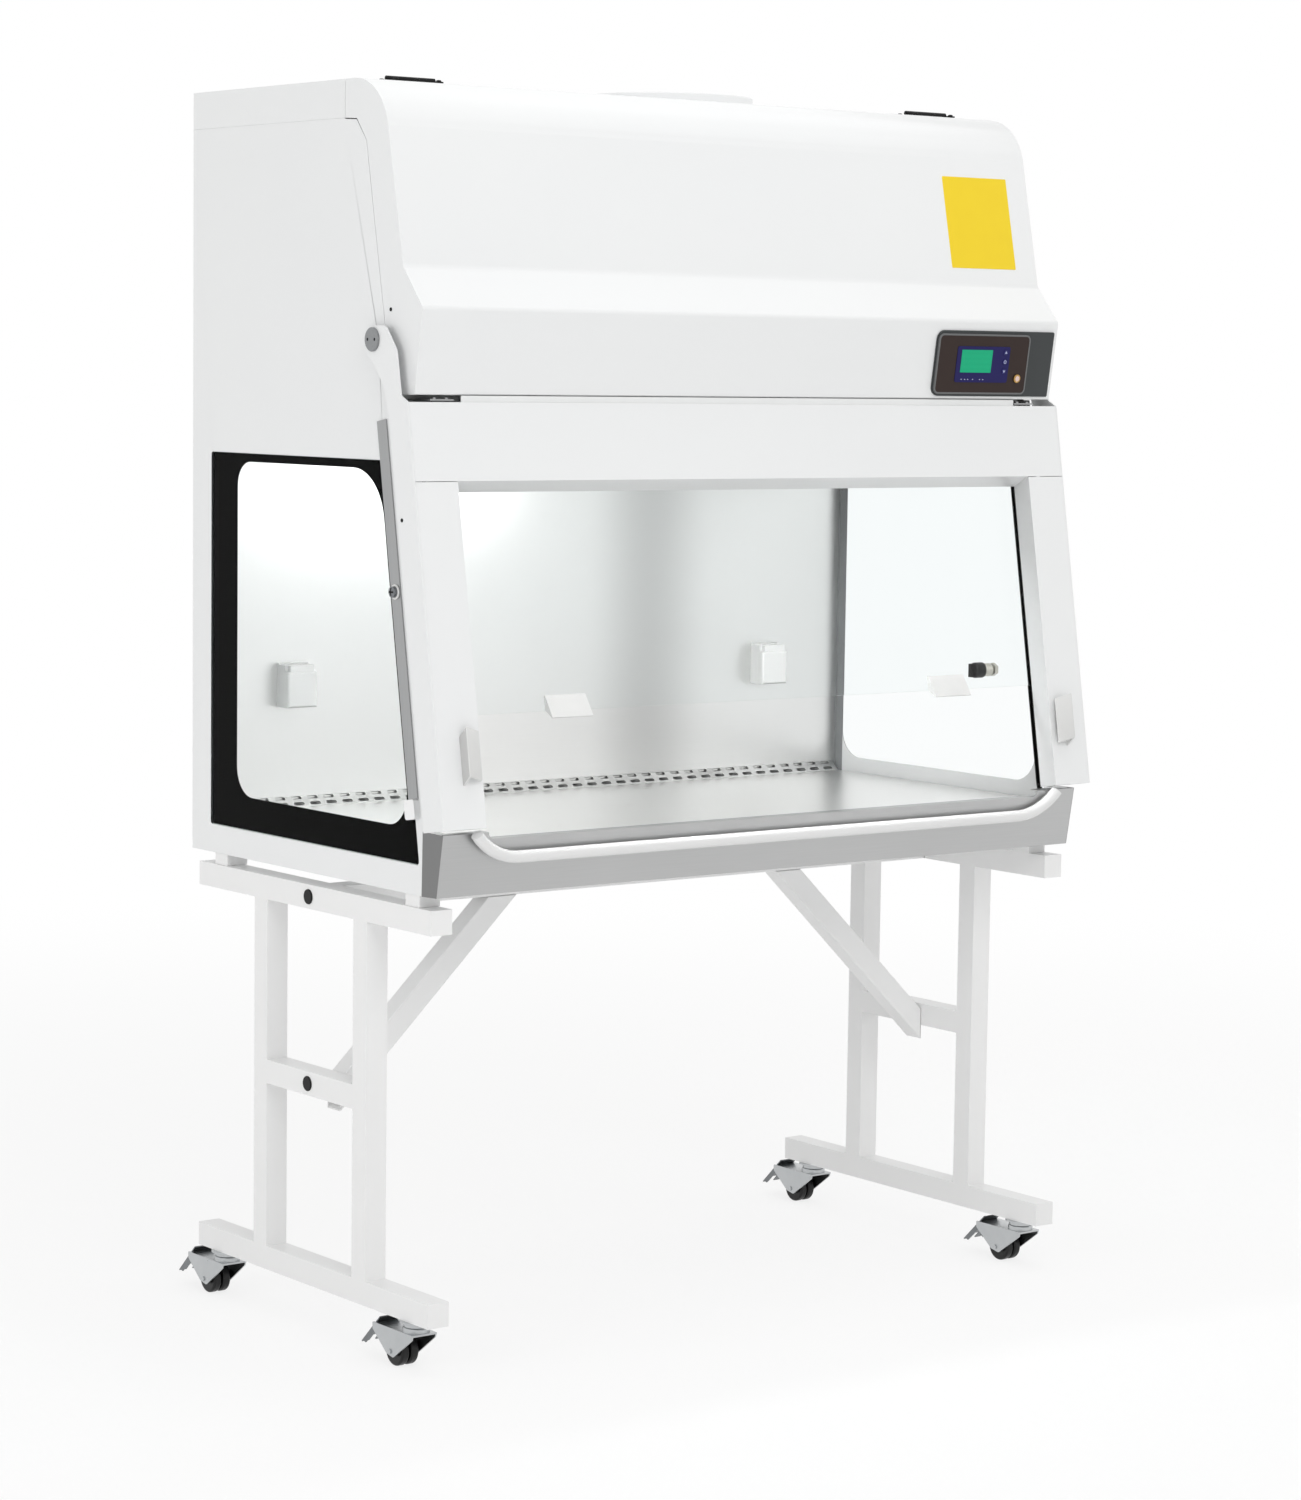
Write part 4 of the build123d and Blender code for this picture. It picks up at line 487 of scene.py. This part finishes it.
def make(name, rings, material, body, caps=True, wrap=False, smooth=0):
    """A surface through rings of points: ring i joins ring i + 1 point by point.

    rings is an array of (ring, point, xyz) in millimetres.  The ends are closed by flat caps, or the
    last ring joins the first where wrap is set.  smooth is the angle in degrees up to which
    neighbouring faces are shaded as one curve.
    """
    rings = np.asarray(rings, float)
    count, around = rings.shape[:2]
    step = np.arange(around)
    following = (step + 1) % around
    faces = []
    for i in range(count if wrap else count - 1):
        low, high = i * around, (i + 1) % count * around
        faces += np.stack([low + step, low + following, high + following, high + step], axis=1).tolist()
    if caps and not wrap:
        faces += [step[::-1].tolist(), ((count - 1) * around + step).tolist()]
    mesh = bpy.data.meshes.new(name)
    mesh.from_pydata((rings.reshape(-1, 3) / 1000).tolist(), [], faces)
    joined = bmesh.new()
    joined.from_mesh(mesh)
    bmesh.ops.recalc_face_normals(joined, faces=joined.faces)
    joined.to_mesh(mesh)
    joined.free()
    if smooth:
        mesh.polygons.foreach_set("use_smooth", np.ones(len(mesh.polygons), bool))
        mesh.set_sharp_from_angle(angle=math.radians(smooth))
    mesh.materials.append(material)
    piece = bpy.data.objects.new(name, mesh)
    bpy.context.collection.objects.link(piece)
    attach(piece, body)
    return piece


def round_rect(x0, x1, y0, y1, radius, grow=0.0, steps=6):
    """Points round a rectangle: each corner is a quarter circle of the radius, all grown outwards."""
    radius = max(radius + grow, 0.05)
    quarter = np.linspace(0, math.pi / 2, steps)
    points = []
    for turn, (cx, cy) in enumerate((
        (x1 + grow - radius, y1 + grow - radius), (x0 - grow + radius, y1 + grow - radius),
        (x0 - grow + radius, y0 - grow + radius), (x1 + grow - radius, y0 - grow + radius),
    )):
        angle = quarter + turn * math.pi / 2
        points.append(np.stack([cx + radius * np.cos(angle), cy + radius * np.sin(angle)], axis=1))
    return np.concatenate(points)


# The lower edge (y, z) of the hood's lower face, and the face's tilt.
LIP = (-299.0, 1550.0)
LOWER_TILT = math.atan2(20.6, 135.0)


def on_lower_face(flat, out):
    """Places flat points (along x, up the face) at a height off the hood's lower face.

    The face leans forward: y = y0 - out cos - up sin and z = z0 - out sin + up cos of its tilt.
    """
    lean, rise = math.sin(LOWER_TILT), math.cos(LOWER_TILT)
    return np.stack([
        flat[:, 0], LIP[0] - out * rise - flat[:, 1] * lean, LIP[1] - out * lean + flat[:, 1] * rise,
    ], axis=1)


def raised(outline, out, height, edge):
    """Rings of a low block on the lower face whose top edge is chamfered: foot, shoulder, crown."""
    inner = outline + (outline.mean(0) - outline) * (edge / np.abs(outline - outline.mean(0)).max())
    levels = ((outline, out), (outline, out + height - edge), (inner, out + height))
    return [on_lower_face(flat, level) for flat, level in levels]


# Heights off the hood's lower face, and outlines on it as x from and to, up from and to,
# and corner radius, all in millimetres.
MEMBRANE_TOP = 7.0
BUTTON_TOP = 8.4
KEY_PLUG_TOP = 9.0
INK = 0.12
LCD_OUTLINE = (447, 518, 47.5, 87, 0.8)
PANEL_OUTLINE = (395, 602, 12, 112, 8)
DOT_MM = 1.4


def liquid_crystal(name):
    """A lit green-blue cell behind a dot grid of 1.4 mm pitch, drawn coarser than the real 0.5 mm."""
    made, tree, out = blank(name)
    where = add(tree, "TexCoord").outputs["Object"]
    dots = add(tree, "TexVoronoi", {"Vector": where, "Scale": 1000 / DOT_MM, "Randomness": 0.0})
    glow = add(tree, "Mix", {
        0: dots.outputs["Distance"], 6: linear("#1FAE7E"), 7: linear("#1AA376"),
    }, data_type="RGBA")
    principled(tree, out, {
        "Base Color": glow.outputs[2], "Roughness": 0.22, "Specular IOR Level": 0.15,
        "Emission Color": linear("#1CAA7A"), "Emission Strength": 0.06,
    })
    return made


lcd_cell = liquid_crystal("liquid_crystal_cell")
lcd_rings = raised(round_rect(*LCD_OUTLINE), MEMBRANE_TOP, 0.4, 0.3)
make("lcd_window", lcd_rings, lcd_cell, "hood")

rim_grey = moulded("grey_panel_rim", "#68696A", "#626364", 0.35)
RIM_PROFILE = (
    (2.2, 3.05), (2.2, 6.1), (1.8, 6.6), (-0.4, 6.6), (-0.8, 6.3), (-0.8, 6.02), (0.15, 6.02), (0.15, 3.05),
)
rim_rings = [on_lower_face(round_rect(*PANEL_OUTLINE, grow=grow), height) for grow, height in RIM_PROFILE]
make("panel_rim", rim_rings, rim_grey, "hood", wrap=True)

# Printed marks: arrows on the outer buttons, a ring on the middle one, dashes in a row.
pale_ink = moulded("pale_blue_ink", "#B6BAD8", "#AEB3D2", 0.5)
BUTTON_X = 548.0
MARK_RADIUS = 3.0
for name, up, spin in (("up", 83.0, 90), ("down", 50.5, -90)):
    angle = np.radians(np.array([0, 120, 240]) + spin)
    arrow = MARK_RADIUS * np.stack([np.cos(angle), np.sin(angle)], axis=1) + (BUTTON_X, up)
    make(f"mark_{name}", raised(arrow, BUTTON_TOP, INK, 0.05), pale_ink, f"button_{name}")
angle = np.linspace(0, 2 * math.pi, 25)[:-1]
circle = np.stack([np.cos(angle), np.sin(angle)], axis=1)
RING_PROFILE = ((MARK_RADIUS, 0.0), (MARK_RADIUS, INK), (1.9, INK), (1.9, 0.0))
ENTER_PLACE = (BUTTON_X, 66.8)
enter_rings = [on_lower_face(circle * radius + ENTER_PLACE, BUTTON_TOP + up) for radius, up in RING_PROFILE]
make("mark_enter", enter_rings, pale_ink, "button_enter", wrap=True)
for i, x in enumerate((452.0, 460.0, 467.0, 478.5, 494.5, 502.0)):
    dash = round_rect(x - 1.3, x + 1.3, 34.8, 36.2, 0.5)
    make(f"status_mark_{i}", raised(dash, MEMBRANE_TOP, INK, 0.05), pale_ink, "hood")

brass = brushed_steel("brass_key_plug", "#C9A56A", "#A98245", 0.28, (2, 2, 2))
finish(brass, "key_switch")
rose_nickel = moulded("rose_key_plug", "#EBD3CC", "#DCC0B8", 0.30)
KEY_PLACE = (581.0, 38.0)
KEY_PROFILE = ((4.6, 0.0), (4.6, 0.25), (4.1, 0.5), (1.2, 0.5), (1.2, 0.02))
plug_face = [on_lower_face(circle * radius + KEY_PLACE, KEY_PLUG_TOP + up) for radius, up in KEY_PROFILE]
make("key_plug_face", plug_face, rose_nickel, "key_switch", smooth=30)

# ------------------------------------------------------------------ service valve
# A nickel plated brass tap for gas or air, screwed through the chamber's right wall; its
# black knob is finished with the other black plastic.
nickel = brushed_steel("nickel_plated_brass", "#C9C6BE", "#B2AFA6", 0.24, (2, 2, 2))
finish(nickel, "service_valve")

# ------------------------------------------------------------------ bare plate
# A yellow vinyl plate with nothing printed on it, stuck on the hood's upper face over the
# control panel.  The vinyl is smooth with a faint gloss.
vinyl = moulded("yellow_vinyl", "#F2D313", "#EFCE0E", 0.32, 2.5, 0.03)
PLATE_OUTLINE = (473, 622, 1776.5, 1935, 2)
UPPER_TOP, UPPER_FOOT = (-202.8, 2045.0), (-264.5, 1748.0)


def on_upper_face(flat, out):
    """Places flat points (along x, at a height z) off the hood's upper face.

    The face leans back along the line from its foot to its top, and out is measured square to it.
    """
    run, fall = UPPER_TOP[0] - UPPER_FOOT[0], UPPER_TOP[1] - UPPER_FOOT[1]
    length = math.hypot(run, fall)
    y = UPPER_TOP[0] - (UPPER_TOP[1] - flat[:, 1]) * run / fall
    return np.stack([flat[:, 0], y - out * fall / length, flat[:, 1] + out * run / length], axis=1)


PLATE_EDGE = ((0, 0.02), (0, 0.35), (-0.3, 0.5))
plate_rings = [on_upper_face(round_rect(*PLATE_OUTLINE, grow=grow), out) for grow, out in PLATE_EDGE]
make("bare_plate", plate_rings, vinyl, "hood")

# ------------------------------------------------------------------ lift grips
# A moulded grip on each jamb: a slanting plate on a web at its outer edge, so that fingers
# reach in behind it from the middle of the frame.
JAMB_EDGE = 604.0
GRIP_HEIGHT = 20.6
FOOT_DROP = 14.0
# The grip's cut across the jamb: out from the jamb's inner edge, and off its face.
GRIP_OUTLINE = np.array([
    (7.4, 9.6), (8.0, 10.3), (34.6, 20.4), (36.4, GRIP_HEIGHT), (37.6, 19.8), (38.0, 18.2),
    (38.0, 0.1), (34.2, 0.1), (34.2, 16.2), (33.2, 17.0), (8.4, 7.6), (7.5, 8.4),
])
# Drops below the frame's top edge, with the share by which the outline draws in there.
GRIP_ENDS = ((509.0, 0.06), (509.7, 0.0), (585.3, 0.0), (586.0, 0.06))


def grip_rings(side):
    """The outline is carried down the jamb, and both ends draw in to a soft edge.

    Each point lies FOOT_DROP lower at the jamb's face than at the plate, in proportion to its height.
    """
    middle = GRIP_OUTLINE.mean(0)
    rings = []
    for drop, shrink in GRIP_ENDS:
        flat = GRIP_OUTLINE + (middle - GRIP_OUTLINE) * shrink
        out = flat[:, 1]
        down = drop + FOOT_DROP * (1 - out / GRIP_HEIGHT)
        y = FRAME_TOP[0] - down * FRAME_SIN - out * FRAME_COS
        z = FRAME_TOP[1] - down * FRAME_COS + out * FRAME_SIN
        rings.append(np.stack([side * (JAMB_EDGE + flat[:, 0]), y, z], axis=1))
    return rings


def shaded_web(tree, colour):
    """Painted shade: the web's outer side is coloured about a quarter darker than the pale plate."""
    outer = add(tree, "MapRange", {0: outwards(tree), 1: 0.52, 2: 0.60, 3: 1.0, 4: 0.74})
    return add(tree, "VectorMath", {0: colour, 3: outer.outputs[0]}, operation="SCALE").outputs[0]


grip_abs = moulded("pale_grip_abs", "#DCDCDB", "#D5D5D4", 0.45, shaded=shaded_web)
grips = [make(f"lift_grip_{name}", grip_rings(side), grip_abs, "front_frame", smooth=35)
         for name, side in (("left", -1), ("right", 1))]
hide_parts("grips")
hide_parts("grips")

# ------------------------------------------------------------------ lock knobs, caps and seal
# Quarter-turn locks: a chromed head with a crossed recess in a white nylon washer.  Small
# black caps close the screw holes, and a pale lip seal stands on the frame's top edge.
# The chrome's dark grey base is painted reflection, standing for the dark things a real chromed head
# mirrors.
chrome = brushed_steel("chromed_knob", "#8B8D90", "#6F7275", 0.16, (6, 6, 6))
washer_nylon = moulded("white_nylon_washer", "#EFEFEE", "#E8E8E7", 0.40)
cap_abs = moulded("black_screw_cap", "#0D0D0D", "#151515", 0.45, shine=0.2)


def turned(profile, centre, axis, way=1, around=40):
    """Rings of a turned shape: each (radius, rise) of the profile is a circle about x (0) or z (2)."""
    turn = np.linspace(0, 2 * math.pi, around + 1)[:-1]
    rings = []
    for radius, rise in profile:
        ring = np.zeros((around, 3)) + centre
        ring[:, (axis + 1) % 3] += radius * np.cos(turn)
        ring[:, (axis + 2) % 3] += radius * np.sin(turn)
        ring[:, axis] += way * rise
        rings.append(ring)
    return np.array(rings)


# All in millimetres.  The washer's cut starts at the knob's seat; the head is a short drum
# under a low dome, and its crossed recess is a little wider than the dark cross set in it.
KNOB_SEAT = 672.8
WASHER = ((10.0, 0.0), (11.9, 0.0), (11.9, 1.6), (11.2, 2.3), (9.2, 2.3), (9.2, 1.2))
HEAD_RADIUS, HEAD_FOOT, HEAD_RIM = 8.9, 0.4, 6.6
DOME_RISE, DOME_REACH = 2.6, 9.2
RECESS_HALF, RECESS_REACH, RECESS_DEPTH = 1.3, 6.6, 2.4
CROSS_HALF, CROSS_REACH = 1.15, 6.4
CROSS_FLOOR, CROSS_FACE = 5.2, 7.3
dome = np.linspace(HEAD_RADIUS, 0.4, 26)
radii = np.concatenate([[HEAD_RADIUS, HEAD_RADIUS], dome])
crown = HEAD_RIM + DOME_RISE * np.sqrt(1 - (dome / DOME_REACH) ** 2)
rises = np.concatenate([[HEAD_FOOT, HEAD_RIM], crown])
near, far = CROSS_HALF, CROSS_REACH
cross = np.array([
    (near, near), (far, near), (far, -near), (near, -near), (near, -far), (-near, -far),
    (-near, -near), (-far, -near), (-far, near), (-near, near), (-near, far), (near, far),
])
for name, side in (("left", -1), ("right", 1)):
    knob = f"lock_knob_{name}"
    middle = np.array([(low + high) / 2 for low, high in zip(*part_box(knob))]) * 1000
    foot = np.array([side * KNOB_SEAT, middle[1], middle[2]])
    washer_rings = turned(WASHER, foot, 0, side)
    washer = make(f"lock_washer_{name}", washer_rings, washer_nylon, knob, wrap=True, smooth=30)
    head_rings = turned(zip(radii, rises), foot, 0, side, around=96)
    off = np.abs(head_rings - foot)[..., 1:]
    recess = (off.min(axis=-1) < RECESS_HALF) & (off.max(axis=-1) < RECESS_REACH)
    recess[:2] = False
    head_rings[..., 0] -= side * RECESS_DEPTH * recess
    head = make(f"lock_head_{name}", head_rings, chrome, knob, smooth=40)
    cross_rings = [
        np.column_stack([np.full(len(cross), foot[0] + side * out), cross + foot[1:]])
        for out in (CROSS_FLOOR, CROSS_FACE)
    ]
    make(f"lock_recess_{name}", cross_rings, cap_abs, knob)
    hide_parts(knob)
    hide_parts(knob)

CAP = ((3.1, 0.0), (3.1, 0.7), (2.6, 1.2), (1.2, 1.45))
ARM_CAP, SIDE_CAP = (686.02, -290.5, 1355.0), (670.02, -230.7, 1682.0)
for name, side in (("left", -1), ("right", 1)):
    for part, (x, y, z), body in (("arm", ARM_CAP, "front_frame"), ("side", SIDE_CAP, "cabinet")):
        cap_rings = turned(CAP, (side * x, y, z), 0, side)
        make(f"{part}_cap_{name}", cap_rings, cap_abs, body, smooth=30)
HINGE_SCREW = ((4.4, 0.0), (4.4, 1.4), (3.4, 2.6), (1.0, 3.0))
HINGE_LEAF_TOP = 2048.02
for i, x in enumerate((-588, -547, -506, 506, 547, 588)):
    for leaf, y, body in (("hood", -115.0, "hood"), ("top", -73.5, "cabinet")):
        screw_rings = turned(HINGE_SCREW, (x, y, HINGE_LEAF_TOP), 2)
        make(f"hinge_screw_{leaf}_{i}", screw_rings, cap_abs, body, smooth=30)

seal_rubber = moulded("pale_silicone_seal", "#EDEEEE", "#E6E7E7", 0.5)
SEAL_END = 584
SEAL = np.array([
    (-301.4, 1538.9), (-299.4, 1538.9), (-299.9, 1548.6), (-300.6, 1549.3), (-301.3, 1548.6),
])
seal_rings = [np.column_stack([np.full(len(SEAL), x), SEAL]) for x in np.linspace(-SEAL_END, SEAL_END, 5)]
make("frame_top_seal", seal_rings, seal_rubber, "front_frame")

# ------------------------------------------------------------------ casters
# Forks and mounts pressed from steel and plated with bright zinc, twin wheels moulded in
# black nylon, and a pedal with a duller plating.
bright_zinc = brushed_steel("bright_zinc_pressing", "#C9CBCC", "#B2B5B7", 0.30, (12, 12, 12))
dark_zinc = brushed_steel("dark_zinc_lever", "#8B8E90", "#6C6F71", 0.36, (12, 12, 12))
nylon = moulded("black_nylon_wheel", "#101010", "#19191A", 0.34, shine=0.3)
places = ("front_left", "front_right", "rear_left", "rear_right")
finish(bright_zinc, "caster_mounts", *[f"caster_fork_{place}" for place in places])
finish(nylon, *[f"caster_wheels_{place}" for place in places])
finish(dark_zinc, *[f"caster_brake_{place}" for place in places])

# ------------------------------------------------------------------ filters
# Pleated glass paper in a stiff case: one filter sealed in at the foot of the plenum for
# the air to the chamber, one at its top for the exhaust.
PLEAT_MM = 17.765


def pleated_paper(name, colour, fold_shade):
    """Pleats: a wave across the width, drawn at 18 mm where the real folds are some 4 mm apart.

    The wave repeats every tau / 20 of its scale.
    """
    made, tree, out = blank(name)
    where = add(tree, "TexCoord").outputs["Object"]
    scale = math.tau / 20 * 1000 / PLEAT_MM
    wave = add(tree, "TexWave", {"Vector": where, "Scale": scale, "Distortion": 0.4}, bands_direction="X")
    # Painted shade: the tone falls to the darker fold colour along the wave, for the shade in the pleats.
    tone = add(tree, "Mix", {0: wave.outputs["Fac"], 6: linear(fold_shade), 7: linear(colour)}, data_type="RGBA")
    bump = add(tree, "Bump", {"Height": wave.outputs["Fac"], "Strength": 0.5, "Distance": 0.002})
    principled(tree, out, {"Base Color": tone.outputs[2], "Roughness": 0.85, "Normal": bump.outputs[0]})
    return made


finish(pleated_paper("pleated_filter_paper", "#EFEEEA", "#CFCDC6"), "hepa_filters")
